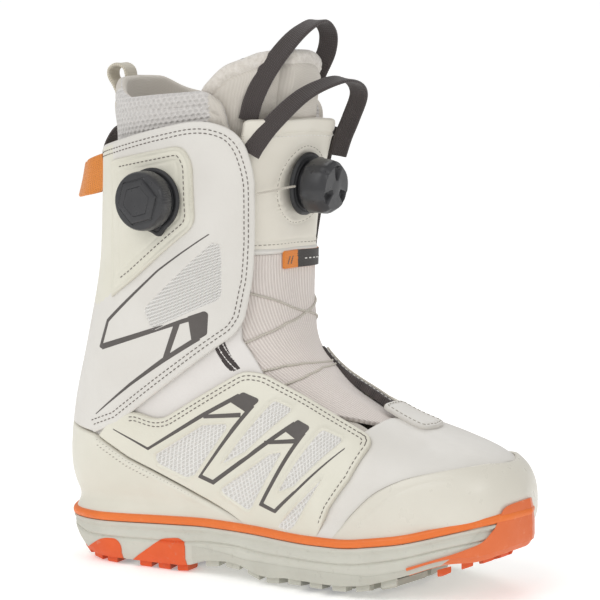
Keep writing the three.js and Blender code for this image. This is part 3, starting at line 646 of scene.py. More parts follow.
class Shader:
    """A node material under construction."""

    def __init__(self, name, roughness=0.6, **principled):
        self.material = bpy.data.materials.new(name)
        self.material.use_nodes = True
        self.tree = self.material.node_tree
        self.bsdf = self.tree.nodes["Principled BSDF"]
        self.bsdf.inputs["Roughness"].default_value = roughness
        for key, value in principled.items():
            self.bsdf.inputs[key.replace("_", " ")].default_value = value
        self.height = None

    def node(self, kind, inputs=None, **settings):
        made = self.tree.nodes.new("ShaderNode" + kind)
        for key, value in settings.items():
            setattr(made, key, value)
        for key, value in (inputs or {}).items():
            if isinstance(value, bpy.types.NodeSocket):
                self.tree.links.new(value, made.inputs[key])
            else:
                made.inputs[key].default_value = value
        return made

    def math(self, operation, a, b=0.0, c=0.0):
        return self.node("Math", {0: a, 1: b, 2: c}, operation=operation).outputs[0]

    def place(self):
        return self.node("TexCoord").outputs["Object"]

    def flat(self):
        """The piece's own flat coordinates in millimetres, as (x, y)."""
        vector = self.node("Attribute", attribute_name="flat").outputs["Vector"]
        parts = self.node("SeparateXYZ", {0: vector})
        return parts.outputs[0], parts.outputs[1]

    def edge(self):
        return self.node("Attribute", attribute_name="edge").outputs["Fac"]

    def noise(self, size, detail=3.0, rough=0.55):
        """Noise with blobs of about size millimetres."""
        inputs = {"Vector": self.place(), "Scale": 1000 / size, "Detail": detail, "Roughness": rough}
        return self.node("TexNoise", inputs).outputs["Fac"]

    def cells(self, size, feature="F1", output="Distance"):
        inputs = {"Vector": self.place(), "Scale": 1000 / size}
        return self.node("TexVoronoi", inputs, feature=feature).outputs[output]

    def remap(self, value, low, high, to_low=0.0, to_high=1.0):
        inputs = {0: value, 1: low, 2: high, 3: to_low, 4: to_high}
        return self.node("MapRange", inputs, clamp=True).outputs[0]

    def mix(self, factor, a, b):
        made = self.node("Mix", data_type="RGBA")
        for index, value in ((0, factor), (6, a), (7, b)):
            if isinstance(value, bpy.types.NodeSocket):
                self.tree.links.new(value, made.inputs[index])
            else:
                made.inputs[index].default_value = value
        return made.outputs[2]

    def colour(self, value):
        if isinstance(value, bpy.types.NodeSocket):
            self.tree.links.new(value, self.bsdf.inputs["Base Color"])
        else:
            self.bsdf.inputs["Base Color"].default_value = value

    def roughness(self, value):
        self.tree.links.new(value, self.bsdf.inputs["Roughness"])

    def glow(self, strength):
        """A faint light of its own, which keeps a backdrop white."""
        self.bsdf.inputs["Emission Color"].default_value = (1, 1, 1, 1)
        self.bsdf.inputs["Emission Strength"].default_value = strength

    def bump(self, height, depth, strength=1.0):
        """Adds relief of depth millimetres."""
        inputs = {"Strength": strength, "Distance": depth / 1000, "Height": height}
        if self.height is not None:
            inputs["Normal"] = self.height
        self.height = self.node("Bump", inputs).outputs[0]
        self.tree.links.new(self.height, self.bsdf.inputs["Normal"])

    def varied(self, base, other, size, amount):
        """base drifting towards other in patches."""
        patches = self.remap(self.noise(size, 4), 0.35, 0.7, 0, amount)
        return self.mix(patches, base, other)


def leather(name, colour, shade, roughness=0.5, grain=0.8, depth=0.05, dirt=0.25):
    """Coated synthetic leather: fine pebble grain, slow colour drift, darker at its cut edge."""
    s = Shader(name, roughness, Coat_Weight=0.08, Coat_Roughness=0.35)
    drift = s.varied(linear(colour), linear(shade), 45, 0.55)
    rim = s.remap(s.edge(), 0.1, 1.3, dirt, 0)
    speck = s.remap(s.noise(2.2, 5), 0.66, 0.8, 0, 0.05)
    s.colour(s.mix(s.math("MAXIMUM", rim, speck), drift, linear("#A79F93")))
    s.roughness(s.remap(s.noise(9, 4), 0.3, 0.7, roughness - 0.07, roughness + 0.09))
    s.bump(s.cells(grain, "SMOOTH_F1"), depth)
    s.bump(s.noise(0.35, 2), 0.015)
    return s.material


def rubber(name, colour, shade, roughness=0.55, wear="#FFFFFF", worn=0.0):
    """Moulded rubber with a fine matt texture, scuffed where worn is above 0."""
    s = Shader(name, roughness)
    drift = s.varied(linear(colour), linear(shade), 30, 0.6)
    scuff = s.remap(s.noise(5, 6, 0.7), 0.58, 0.7, 0, worn)
    s.colour(s.mix(scuff, drift, linear(wear)))
    s.roughness(s.remap(s.noise(3, 5), 0.3, 0.7, roughness - 0.08, roughness + 0.12))
    s.bump(s.noise(0.5, 3), 0.03)
    s.bump(s.noise(4, 2), 0.05)
    return s.material


def ribbed_knit(name, colour, shade, rib=1.6):
    """Stretch fabric with fine ribs that run along the piece's flat x."""
    s = Shader(name, 0.85, Sheen_Weight=0.35, Sheen_Roughness=0.5)
    x, y = s.flat()
    ribs = s.math("SINE", s.math("MULTIPLY", y, 2 * math.pi / rib))
    knots = s.math("SINE", s.math("MULTIPLY", x, 2 * math.pi / 1.1))
    weave = s.math("ADD", s.math("MULTIPLY", ribs, 0.75), s.math("MULTIPLY", knots, 0.25))
    tone = s.remap(weave, -0.9, 0.6)
    drift = s.varied(linear(colour), linear("#DDD3CC"), 40, 0.5)
    s.colour(s.mix(tone, linear(shade), drift))
    s.bump(weave, 0.18)
    s.bump(s.noise(0.4, 3), 0.05)
    return s.material


def webbing(name, colour, shade, along=1.5, across=1.1):
    """Flat woven tape: warp ribs along it crossed by finer picks."""
    s = Shader(name, 0.75, Sheen_Weight=0.25, Sheen_Roughness=0.5)
    x, y = s.flat()
    picks = s.math("SINE", s.math("MULTIPLY", x, 2 * math.pi / along))
    warp = s.math("SINE", s.math("MULTIPLY", y, 2 * math.pi / across))
    weave = s.math("ADD", s.math("MULTIPLY", picks, warp), s.math("MULTIPLY", warp, 0.6))
    fuzz = s.noise(0.5, 4)
    tone = s.remap(s.math("ADD", weave, s.math("MULTIPLY", fuzz, 0.8)), -1.0, 1.6)
    s.colour(s.mix(tone, linear(shade), linear(colour)))
    s.bump(weave, 0.16)
    s.bump(fuzz, 0.06)
    return s.material


def plastic(name, colour, shade, roughness=0.45):
    """Moulded nylon with a fine spark-eroded texture and a few rubbed patches."""
    s = Shader(name, roughness)
    s.colour(s.varied(linear(colour), linear(shade), 8, 0.7))
    s.roughness(s.remap(s.noise(4, 5), 0.3, 0.7, roughness - 0.08, roughness + 0.1))
    s.bump(s.noise(0.3, 2), 0.03)
    return s.material


def plain_weave(name, colour, shade, pitch=0.9, sheen=0.2):
    """Cloth with a plain over and under weave that doesn't depend on the piece's direction."""
    s = Shader(name, 0.9, Sheen_Weight=sheen, Sheen_Roughness=0.6)
    parts = s.node("SeparateXYZ", {0: s.place()})
    turns = 2000 * math.pi / pitch
    waves = [s.math("SINE", s.math("MULTIPLY", parts.outputs[i], turns)) for i in range(3)]
    weave = s.math("ADD", s.math("MULTIPLY", waves[0], waves[2]), s.math("MULTIPLY", waves[1], 0.5))
    tone = s.remap(s.math("ADD", weave, s.noise(0.6, 4)), -0.8, 1.6)
    s.colour(s.mix(tone, linear(shade), s.varied(linear(colour), linear(shade), 30, 0.3)))
    s.bump(weave, 0.08)
    return s.material


def spacer_mesh(name, colour, shade, cell=3.0):
    """Heather spacer mesh: staggered small hollows in a fuzzy knit."""
    s = Shader(name, 0.9, Sheen_Weight=0.4, Sheen_Roughness=0.6)
    x, y = s.flat()
    waves = []
    for turn in (0, 60, 120):
        c, d = math.cos(math.radians(turn)), math.sin(math.radians(turn))
        along = s.math("ADD", s.math("MULTIPLY", x, c), s.math("MULTIPLY", y, d))
        waves.append(s.math("COSINE", s.math("MULTIPLY", along, 2 * math.pi / cell)))
    hollows = s.math("ADD", s.math("ADD", waves[0], waves[1]), waves[2])
    fibres = s.noise(0.45, 5, 0.7)
    heather = s.mix(s.remap(fibres, 0.38, 0.62), linear(shade), linear(colour))
    s.colour(s.mix(s.remap(hollows, 0.4, 2.8, 0, 0.3), heather, linear("#B9B5AF")))
    s.bump(s.math("MULTIPLY", hollows, -1.0), 0.22)
    s.bump(fibres, 0.12)
    return s.material


def diamond_mesh(name, colour, shade, pitch=2.1):
    """Open mesh under the panels' windows: a lattice of slanting threads over a darker ground."""
    s = Shader(name, 0.6)
    x, y = s.flat()
    turn = 2 * math.pi / pitch
    one = s.math("SINE", s.math("MULTIPLY", s.math("ADD", x, s.math("MULTIPLY", y, 0.6)), turn))
    two = s.math("SINE", s.math("MULTIPLY", s.math("SUBTRACT", x, s.math("MULTIPLY", y, 0.6)), turn))
    lattice = s.math("MAXIMUM", one, two)
    s.colour(s.mix(s.remap(lattice, -0.1, 0.8), linear(shade), linear(colour)))
    s.bump(lattice, 0.3)
    return s.material


def fleece(name, colour, shade):
    s = Shader(name, 0.95, Sheen_Weight=0.6, Sheen_Roughness=0.6)
    tufts = s.noise(2.6, 6, 0.75)
    s.colour(s.mix(s.remap(tufts, 0.35, 0.65), linear(shade), linear(colour)))
    s.bump(tufts, 0.9)
    return s.material


def metal(name, colour, roughness=0.3):
    s = Shader(name, roughness, Metallic=1.0)
    streaks = s.noise(0.7, 5)
    s.colour(s.mix(s.remap(streaks, 0.3, 0.7), linear(colour), linear("#77797C")))
    s.roughness(s.remap(streaks, 0.3, 0.7, roughness, roughness + 0.2))
    s.bump(streaks, 0.02)
    return s.material


def floor_material():
    s = Shader("floor_pale", 0.85)
    s.colour(s.mix(s.remap(s.noise(400, 2), 0.3, 0.7), linear("#FBFBFA"), linear("#F7F7F6")))
    s.glow(0.3)
    return s.material


MATERIALS = {
    "white": leather("upper_white", "#DDDAD4", "#D3CFC8"),
    "ankle": leather("ankle_white", "#E1DDD9", "#D5D0CB", roughness=0.58, grain=1.1),
    "cream": leather("upper_cream", "#DFDCCE", "#D3CFBF", roughness=0.48),
    "counter": leather("counter_cream", "#DEDBCE", "#D2CEBF", roughness=0.4, depth=0.03),
    "gloss": leather("rand_cream", "#DAD6CA", "#D2CDC0", roughness=0.32, depth=0.03, dirt=0.1),
    "binding": leather("binding_white", "#EBE9E4", "#DCD9D2", roughness=0.5, depth=0.03),
    "knit": ribbed_knit("knit", "#E9E1DB", "#CFC4BD"),
    "knit_smooth": leather("tongue_cream", "#E3DED2", "#D7D1C4", roughness=0.55),
    "mesh": diamond_mesh("window_mesh", "#E6E4E0", "#DAD7D1", pitch=2.6),
    "print": rubber("print_dark", "#5A5552", "#4E4A47", roughness=0.5),
    "thread": rubber("thread_dark", "#77706A", "#5C5650", roughness=0.8),
    "thread_grey": rubber("thread_grey", "#A39D92", "#8A8479", roughness=0.8),
    "thread_pale": rubber("thread_pale", "#F1EFEA", "#DAD6CE", roughness=0.8),
    "orange": rubber("orange_stripe", "#E9772E", "#DD6A24", roughness=0.45, wear="#F2A877", worn=0.2),
    "orange_red": rubber("orange_lug", "#E25C22", "#CF4F1B", roughness=0.5, wear="#B9A294", worn=0.3),
    "bumper": rubber("orange_bumper", "#E0703A", "#D5622C", roughness=0.45, wear="#EBB08C", worn=0.25),
    "sole": rubber("sole_grey", "#CBCABF", "#BDBBB0", roughness=0.6, wear="#A09B8F", worn=0.25),
    "outsole": rubber("outsole_grey", "#C4C3B8", "#B3B1A6", roughness=0.65, wear="#99948A", worn=0.4),
    "webbing": webbing("webbing_charcoal", "#4C4341", "#2F2928"),
    "webbing_orange": webbing("webbing_orange", "#EE9640", "#D97D2B"),
    "webbing_beige": webbing("webbing_beige", "#DDD6C6", "#BDB5A3"),
    "dark_lining": plain_weave("dark_lining", "#45403E", "#2C2827"),
    "liner": spacer_mesh("liner_mesh", "#DFDCD9", "#C2BDB8"),
    "liner_cream": plain_weave("liner_cream", "#D9D3CA", "#C6BFB4"),
    "fleece": fleece("liner_fleece", "#E5DFD7", "#CEC6BB"),
    "dial": plastic("dial_black", "#303032", "#262628", 0.4),
    "dial_face": plastic("dial_face", "#39393B", "#2E2E30", roughness=0.33),
    "dial_side": plastic("dial_side", "#29292B", "#202022", roughness=0.5),
    # Dark red copy of the orange webbing for the rear pull loop's inner face: painted shade inside the
    # loop.
    "loop_inside": plain_weave("loop_inside", "#9A3320", "#7A2416"),
    "lace": webbing("lace_cable", "#E2DCD0", "#B9B1A3", along=1.6, across=0.8),
    "steel": metal("steel", "#B9BABC"),
    "board": plain_weave("board", "#B9A88A", "#9C8B6E", pitch=1.4),
    "foam": fleece("foam", "#E4E2DC", "#CFCCC3"),
    "tag_orange": plain_weave("tag_orange", "#F0913A", "#D97A28"),
    "tag_charcoal": plain_weave("tag_charcoal", "#4A4744", "#35312F"),
}
M = MATERIALS

# ------------------------------------------------------------------ stage, light and camera
AIM = (0.0036, 0.0103, 0.150)
CAMERA_DISTANCE = 1.6
CAMERA_ANGLES = (32, 7)              # degrees round from the lateral side, and above level
FLOOR_HALF_SIZE = 400.0              # wide enough that its edge is never seen
WORLD_STRENGTH = 0.57


def from_angles(azimuth, elevation, distance):
    """A place on a sphere round the boot, and the turn that faces its middle from there."""
    a, e = math.radians(azimuth), math.radians(elevation)
    back = Vector((math.sin(a) * math.cos(e), -math.cos(a) * math.cos(e), math.sin(e)))
    return Vector(AIM) + back * distance, back.to_track_quat("Z", "Y")


def make_camera():
    camera = bpy.data.objects.new("camera", bpy.data.cameras.new("camera"))
    bpy.context.scene.collection.objects.link(camera)
    camera.location, turn = from_angles(*CAMERA_ANGLES, CAMERA_DISTANCE)
    camera.rotation_mode = "QUATERNION"
    camera.rotation_quaternion = turn
    camera.data.lens = 162
    camera.data.sensor_width = 36
    camera.data.shift_x = -0.0033
    camera.data.shift_y = 0.0333
    camera.data.clip_end = 100
    bpy.context.scene.camera = camera


def lamp(name, kind, azimuth, elevation, distance, energy, **settings):
    data = bpy.data.lights.new(name, kind)
    data.energy = energy
    for key, value in settings.items():
        setattr(data, key, value)
    light = bpy.data.objects.new(name, data)
    bpy.context.scene.collection.objects.link(light)
    light.rotation_mode = "QUATERNION"
    light.location, light.rotation_quaternion = from_angles(azimuth, elevation, distance)


def make_stage():
    size = FLOOR_HALF_SIZE
    data = bpy.data.meshes.new("floor")
    data.from_pydata([(-size, -size, 0), (size, -size, 0), (size, size, 0), (-size, size, 0)], [],
                     [(0, 1, 2, 3)])
    floor = bpy.data.objects.new("floor", data)
    floor.location.z = -0.0002
    bpy.context.scene.collection.objects.link(floor)
    data.materials.append(floor_material())
    world = bpy.data.worlds.new("studio")
    world.use_nodes = True
    world.node_tree.nodes["Background"].inputs[0].default_value = (1.0, 1.0, 1.0, 1)
    world.node_tree.nodes["Background"].inputs[1].default_value = WORLD_STRENGTH
    bpy.context.scene.world = world
    lamp("sky", "SUN", -12, 46, 3, 0.95, angle=math.radians(50))
    lamp("side", "AREA", 75, 30, 2.0, 4, shape="DISK", size=0.8)
    lamp("rim", "AREA", 200, 45, 2.2, 7, shape="DISK", size=1.2)
    bpy.context.scene.view_settings.view_transform = "Standard"


# ------------------------------------------------------------------ stitching and edges
def capsule(at, tangent, normal, length, width, slant=0.0):
    """Vertices and faces of one thread stitch lying along tangent, or slanted from it."""
    side = np.cross(normal, tangent)
    tangent = tangent * math.cos(slant) + side * math.sin(slant)
    side = np.cross(normal, tangent)
    rings = [(-0.5, 0.35), (-0.3, 0.9), (0.0, 1.0), (0.3, 0.9), (0.5, 0.35)]
    verts = []
    for along, girth in rings:
        for k in range(6):
            a = 2 * math.pi * k / 6
            verts.append(at + tangent * along * length
                         + (side * math.cos(a) + normal * math.sin(a)) * girth * width / 2)
    faces = [[i * 6 + k, i * 6 + (k + 1) % 6, (i + 1) * 6 + (k + 1) % 6, (i + 1) * 6 + k]
             for i in range(4) for k in range(6)]
    faces += [[5, 4, 3, 2, 1, 0], [24, 25, 26, 27, 28, 29]]
    return verts, faces


def stitches(name, lines, material="thread", pitch=3.2, length=2.15, width=0.62, slant=0.0):
    """One object of separate stitches. Each line is (points, normals) in space."""
    verts, faces = [], []
    for points, up in lines:
        run = run_along(points)
        for at in np.arange(pitch / 2, run[-1] - length / 2, pitch):
            i = min(np.searchsorted(run, at, side="right") - 1, len(points) - 2)
            f = (at - run[i]) / max(run[i + 1] - run[i], 1e-9)
            tangent = points[i + 1] - points[i]
            tangent = tangent / max(np.linalg.norm(tangent), 1e-9)
            here = points[i] + (points[i + 1] - points[i]) * f
            v, fs = capsule(here, tangent, up[i], length, width, slant)
            faces += [[len(verts) + k for k in face] for face in fs]
            verts += v
    return add_mesh(name, np.array(verts), faces, M[material], smooth_angle=80)


def rows_inside(panel, distance, where=None):
    """Lines on a panel's face at a distance inside its edge, kept where where(x, y, z) holds."""
    moved = shifted(panel.outline, panel.chart, panel.sign * distance)
    base = surface(moved[:, 0], moved[:, 1])
    good = distance_to(base, panel.base_outline) > 0.85 * distance
    if where is not None:
        good &= np.array([bool(where(*p)) for p in base])
    height = panel.layer[1] + STITCH_LIFT
    points = skin(moved[:, 0], moved[:, 1], np.full(len(moved), height))
    up = normals(moved[:, 0], moved[:, 1])
    return runs(points, up, good)


def runs(points, up, good):
    """Splits a closed line into the stretches where good holds."""
    if good.all():
        return [(np.vstack([points, points[:1]]), np.vstack([up, up[:1]]))]
    start = int(np.argmin(good))
    order = np.roll(np.arange(len(points)), -start)
    result, current = [], []
    for i in order:
        if good[i]:
            current.append(i)
        elif current:
            result.append(current)
            current = []
    if current:
        result.append(current)
    return [(points[r], up[r]) for r in result if len(r) > 3]


def tube(name, points, radius, material, sides=10, flatten=None):
    """A round cord along points. flatten, (up vectors, share), squeezes it along up."""
    points = np.asarray(points, float)
    n = len(points)
    tangent = np.gradient(points, axis=0)
    tangent /= np.linalg.norm(tangent, axis=1, keepdims=True)
    up = flatten[0] if flatten is not None else carried_normals(tangent)
    up = up - tangent * (up * tangent).sum(1, keepdims=True)
    up /= np.linalg.norm(up, axis=1, keepdims=True)
    side = np.cross(tangent, up)
    squeeze = flatten[1] if flatten is not None else 1.0
    angle = np.linspace(0, 2 * math.pi, sides, endpoint=False)
    rings = (points[:, None] + side[:, None] * np.cos(angle)[None, :, None] * radius
             + up[:, None] * np.sin(angle)[None, :, None] * radius * squeeze)
    verts = rings.reshape(-1, 3)
    faces = grid_faces(n, sides)
    faces += [list(range(sides))[::-1], [(n - 1) * sides + k for k in range(sides)]]
    obj = add_mesh(name, verts, faces, material, smooth_angle=60)
    run = run_along(points)
    flat = np.stack(np.broadcast_arrays(run[:, None], (angle * radius)[None]), -1).reshape(-1, 2)
    set_flat(obj, flat)
    return obj


def grid_faces(n, m):
    """Quads of an open tube of n rings with m points each."""
    faces = []
    for i in range(n - 1):
        for k in range(m):
            l = (k + 1) % m
            faces.append([i * m + k, (i + 1) * m + k, (i + 1) * m + l, i * m + l])
    return faces


def carried_normals(tangent):
    """A direction square to the line, carried along it without twist."""
    up = np.cross(tangent[0], [0.3, 0.2, 1.0])
    up /= np.linalg.norm(up)
    result = [up]
    for t in tangent[1:]:
        up = up - t * np.dot(up, t)
        up = up / np.linalg.norm(up)
        result.append(up)
    return np.array(result)


# ------------------------------------------------------------------ seen from the front
FRONT_SHARES = np.linspace(-0.62, 0.62, 125)
FRONT_TS = np.linspace(0, LAST, 321)
FRONT_POINTS = surface(FRONT_TS[:, None], FRONT_SHARES[None])


def front_view(y, z):
    """(t, q) of the base surface's point seen at y, z from the front."""
    shares = np.array([np.interp(y, row[:, 1], FRONT_SHARES) for row in FRONT_POINTS])
    heights = surface(FRONT_TS, shares)[:, 2]
    t = float(np.interp(z, heights, FRONT_TS))
    return t, float(np.interp(t, FRONT_TS, shares))


def front_line(points, step=OUTLINE_STEP):
    return np.array([front_view(y, z) for y, z in resample(np.array(points, float), step)])


def front_outline(points, step=OUTLINE_STEP):
    """A closed outline seen from the front, with points as [y, z] or [y, z, radius]."""
    line = resample(np.array(rounded(points)), step, closed=True)
    return np.array([front_view(y, z) for y, z in line])


# ------------------------------------------------------------------ graphics and relief on panels
SIDES = {"L": "lateral", "M": "medial"}
CUFF = [[-170, 246], [-118, 250], [-98, 254.5], [-66, 262.5], [-32, 270, 16], [-12, 263, 16],
        [-9, 240, 10],
        [-12.5, 206], [-15.5, 175], [-19, 153], [-23, 144.5, 4], [-54, 120.6], [-98, 87.5], [-117, 80],
        [-170, 84]]
HINGE_START, HINGE_END = [-116, -54, 170], [-94, -54, 170]   # where the cuff bends when it opens
QUARTER = [[-16, 123, 5], [-4, 121.5, 4], [12, 114], [47, 99.5], [69, 90.5, 3], [72, 86.5, 3],
           [65, 68.5], [52.6, 51], [44, 31.7], [5, 31.4], [-42.7, 48.6], [-91.7, 66.6], [-113, 78],
           [-104, 88, 4], [-88, 95.5, 6], [-69, 90.5, 8]]
ANKLE_PANEL = [[-2, 118], [-19, 141], [-22, 185, 4], [-60, 200], [-118, 190], [-135, 120],
               [-120, 60], [-60, 60], [-33, 98]]
DIAL_PATCH = [[-97.6, 244.5, 3], [-44, 255.5, 7], [-38, 246, 6], [-38.6, 209, 7], [-79, 176],
              [-97.6, 163]]
WINDOWS = [
    [[-72, 70], [-39, 90], [-22.5, 92, 2], [-22.5, 89, 2], [-44, 60.5], [-50, 58, 2], [-71, 65, 2]],
    [[6, 106.5, 2], [19, 102, 3], [-8.5, 77], [-24.5, 68.5, 2]],
    [[-25.5, 53.5, 2], [9.5, 77], [18, 79, 2], [-3, 45, 2], [-6, 43.5, 2], [-24, 51.3, 2]],
    [[41, 92.5, 2], [56, 88, 3], [28, 61], [17, 56.5, 2]],
    [[48, 67, 2], [29.5, 39.5], [26, 36.5, 2], [17.5, 37.5, 2]],
]
CUFF_WINDOW = [[-27.5, 198, 3], [-29.5, 165.5, 3], [-70, 146, 3], [-74.5, 158, 3], [-31, 199, 2]]


def window_profile(away):
    """A mesh window: sunk inside its line, with a rounded rib just outside."""
    return 0.75 * bump_at(away, 1.3, 0.9) - 1.1 * smoothstep(-away, -0.3, 0.9)


def emboss_profile(away):
    return -0.45 * smoothstep(-away, -0.4, 0.9) + 0.2 * bump_at(away, 1.1, 0.8)


def groove(depth, width):
    return lambda away: -depth * bump_at(away, 0, width)


def ridge(height, width):
    return lambda away: height * bump_at(away, 0, width)


def closed_feature(points, side, profile, rings=(0.01, 0.6, 1.2, 2.0, 3.0)):
    return {"line": one_side(points, side, 1.2), "closed": True, "profile": profile, "rings": rings}


def open_feature(points, side, profile, rings=(0.01, 0.5, 1.1, 1.8)):
    return {"line": side_line(points, side, 1.2), "closed": False, "profile": profile, "rings": rings}


def inset_feature(outline, chart, sign, distance, profile, rings=(0.01, 0.5, 1.0, 1.6)):
    """A closed line that follows an outline at a distance inside it."""
    line = shifted(outline, chart, sign * distance)
    good = distance_to(surface(*line.T), surface(*outline.T)) > 0.8 * distance
    return {"line": line[good], "closed": True, "profile": profile, "rings": rings}


def windows_region(windows, side):
    """Gives the second material to the faces inside the windows."""
    def choose(panel, faces):
        middle = panel.flat[faces].mean(1)
        which = np.zeros(len(faces))
        for points in windows:
            line = one_side(points, side, 1.2)
            which[inside(middle, panel.to_flat(line[:, 0], line[:, 1]))] = 1
        return which
    return choose


def stripe_outline(points, widths, side):
    """A tapered printed stroke along points in the side view, as an outline of (t, q) rows."""
    points = np.array(points, float)
    run = run_along(points)
    tangent = np.gradient(points, axis=0)
    normal = np.stack([-tangent[:, 1], tangent[:, 0]], -1)
    corner = []
    for i in range(len(points)):
        if 0 < i < len(points) - 1:
            a = points[i] - points[i - 1]
            b = points[i + 1] - points[i]
            na = np.array([-a[1], a[0]]) / np.linalg.norm(a)
            nb = np.array([-b[1], b[0]]) / np.linalg.norm(b)
            mid = (na + nb) / max(np.linalg.norm(na + nb), 1e-6)
            corner.append(mid / max(np.dot(mid, na), 0.35))
        else:
            corner.append(normal[i] / np.linalg.norm(normal[i]))
    half = np.interp(run, np.linspace(0, run[-1], len(widths)), widths)[:, None] / 2
    corner = np.array(corner)
    loop = np.vstack([points + corner * half, (points - corner * half)[::-1]])
    line = resample(loop, 0.9, closed=True)
    return np.array([side_view(x, z, side) for x, z in line])


# Printed film: tapered strokes as (points, widths at even steps along them) and filled shapes.
# Both are plain zigzags.
CUFF_STROKES = [
    ([[-32, 204], [-64, 181], [-102, 148.5], [-108.5, 131.5]], [0.6, 1.0, 1.7, 2.4]),
    ([[-107.5, 132.2], [-57, 149.6], [-44, 154]], [3.4, 2.6, 2.6]),
    ([[-42, 142], [-64.3, 127.4], [-87, 111.5], [-113.5, 91]], [2.8, 2.6, 1.5, 0.5]),
]
CUFF_FILLS = [
    [[-47.5, 154.6], [-38, 158.2, 1], [-36.2, 156.6, 1], [-37.4, 144.2, 1], [-46, 138.5]],
    [[-56.4, 148.6], [-52.2, 150.2], [-60.2, 130.2], [-64.6, 127.4]],
]
QUARTER_STROKES = [
    ([[-101, 83.4], [-77.2, 73.1], [-39, 96], [-16, 108.6]], [0.6, 1.8, 2.4, 2.6]),
    ([[-6.5, 103.4], [-41, 60], [-31, 57], [22.5, 94.6]], [2.6, 2.6, 2.5, 2.6]),
    ([[30.5, 90.4], [4.6, 48], [15, 45.2], [58.5, 83.8]], [2.6, 2.5, 1.9, 0.6]),
    ([[-38.5, 95.2], [-13.6, 97.6]], [2.2, 2.6]),
    ([[4.5, 83.2], [26.5, 85.6]], [2.0, 2.4]),
]
QUARTER_FILLS = [
    [[-22.5, 105.2], [-14, 110.6, 1], [-4, 107.2, 1], [-3.4, 105.6, 1], [-10.2, 99.2]],
    [[17, 90.6], [24, 96.8, 1], [32.4, 93.8, 1], [33, 92.2, 1], [27.6, 85.6]],
]


def printed(name, strokes, fills, side, face, settle):
    """Thin dark film lying on a panel's outer face. Each piece is handed to settle."""
    outlines = [stripe_outline(points, widths, side) for points, widths in strokes]
    outlines += [one_side(points, side, 0.9) for points in fills]
    for i, outline in enumerate(outlines):
        height = face + 0.02 * i
        film = Skin(outline, (height - 0.6, height + 0.16), roll=0.12, pitch=1.6)
        settle(film.build(f"{name}_{i + 1}", M["print"]), "dial_black")


def binding(name, panel, where, radius, material, settle, height=None, share=0.75):
    """A folded tape round a stretch of a panel's edge."""
    outline = panel.outline
    base = surface(*outline.T)
    good = np.array([bool(where(*p)) for p in base])
    mid = (panel.layer[0] + panel.layer[1]) / 2 if height is None else height
    flat = shifted(outline, panel.chart, panel.sign * radius * 0.55)
    points = skin(flat[:, 0], flat[:, 1], np.full(len(flat), mid))
    up = normals(flat[:, 0], flat[:, 1])
    for i, (line, lift) in enumerate(runs(points, up, good)):
        if len(line) < 6:
            continue
        kernel = np.ones(3) / 3
        for k in range(3):
            line[1:-1, k] = np.convolve(line[:, k], kernel, "valid")
        cord = tube(f"{name}_{i + 1}", line, radius, M[material], 12, flatten=(lift, share))
        settle(cord, "upper_white")


# ------------------------------------------------------------------ shell panels
def on_root(obj, slot):
    place(obj, "root")


CUFF_BODY = {"L": "cuff_lateral_flap", "M": "cuff_medial_flap"}


def on_cuff(side):
    """Settles a cuff piece: bakes its transform into its mesh and hides the CAD nodes it replaces."""
    sign = 1 if side == "L" else -1
    start, end = ([x, sign * y, z] for x, y, z in (HINGE_START, HINGE_END))

    def settle(obj, slot, replaces=()):
        bend(obj, ("root", CUFF_BODY[side]), start, end, slot, replaces)
    return settle


def make_cuff(side):
    label, settle = SIDES[side], on_cuff(side)
    points = CUFF
    if side == "M":
        points = [[x - 6 if x > -30 else x, *rest] for x, *rest in CUFF]
    outline = one_side(points, side)
    features = [closed_feature(CUFF_WINDOW, side, emboss_profile)]
    panel = Skin(outline, PANEL, features=features, roll=1.1)
    window = windows_region([CUFF_WINDOW], side)

    def zones(skin_panel, faces):
        middle = skin_panel.base[faces].mean(1)
        low = np.interp(-middle[:, 0], [98, 109, 170], [165, 158, 150])
        rear = (side == "L") & (middle[:, 0] < -97) & (middle[:, 2] > low)
        return np.where(rear, 2, window(skin_panel, faces))
    obj = panel.build(f"cuff_{label}_shell", M["white"], materials=(M["mesh"], M["cream"]),
                      region=zones)
    settle(obj, "upper_white", (f"cuff_{label}",))
    printed(f"cuff_{label}_print", CUFF_STROKES, CUFF_FILLS, side, PANEL[1], settle)

    def free_edge(x, y, z):
        return x > -118
    lines = rows_inside(panel, 3.6, free_edge) + rows_inside(panel, 6.2, free_edge)
    settle(stitches(f"cuff_{label}_stitches", lines), "dial_black")
    binding(f"cuff_{label}_binding", panel, free_edge, 1.7, "binding", settle)


def make_quarter(side):
    label = SIDES[side]
    outline = one_side(QUARTER, side)
    features = [closed_feature(w, side, window_profile) for w in WINDOWS]
    panel = Skin(outline, PANEL, features=features, roll=1.1, pitch=2.6, flush=True)
    obj = panel.build(f"quarter_{label}_shell", M["cream"], materials=(M["mesh"],),
                      region=windows_region(WINDOWS, side))
    place(obj, "root", (f"quarter_{label}",))
    printed(f"quarter_{label}_print", QUARTER_STROKES, QUARTER_FILLS, side, PANEL[1], on_root)

    def top_edge(x, y, z):
        return z > 84 and x > -90

    def front_edge(x, y, z):
        return x > 40 and z < 92
    lines = rows_inside(panel, 2.6, top_edge) + rows_inside(panel, 5.0, top_edge)
    lines += rows_inside(panel, 2.4, front_edge)
    place(stitches(f"quarter_{label}_stitches", lines), "root")


def make_ankle(side):
    label = SIDES[side]
    panel = Skin(one_side(ANKLE_PANEL, side), (BASE[0], -0.2))
    obj = panel.build(f"ankle_{label}_shell", M["ankle"])
    place(obj, "root", (f"ankle_panel_{label}",))


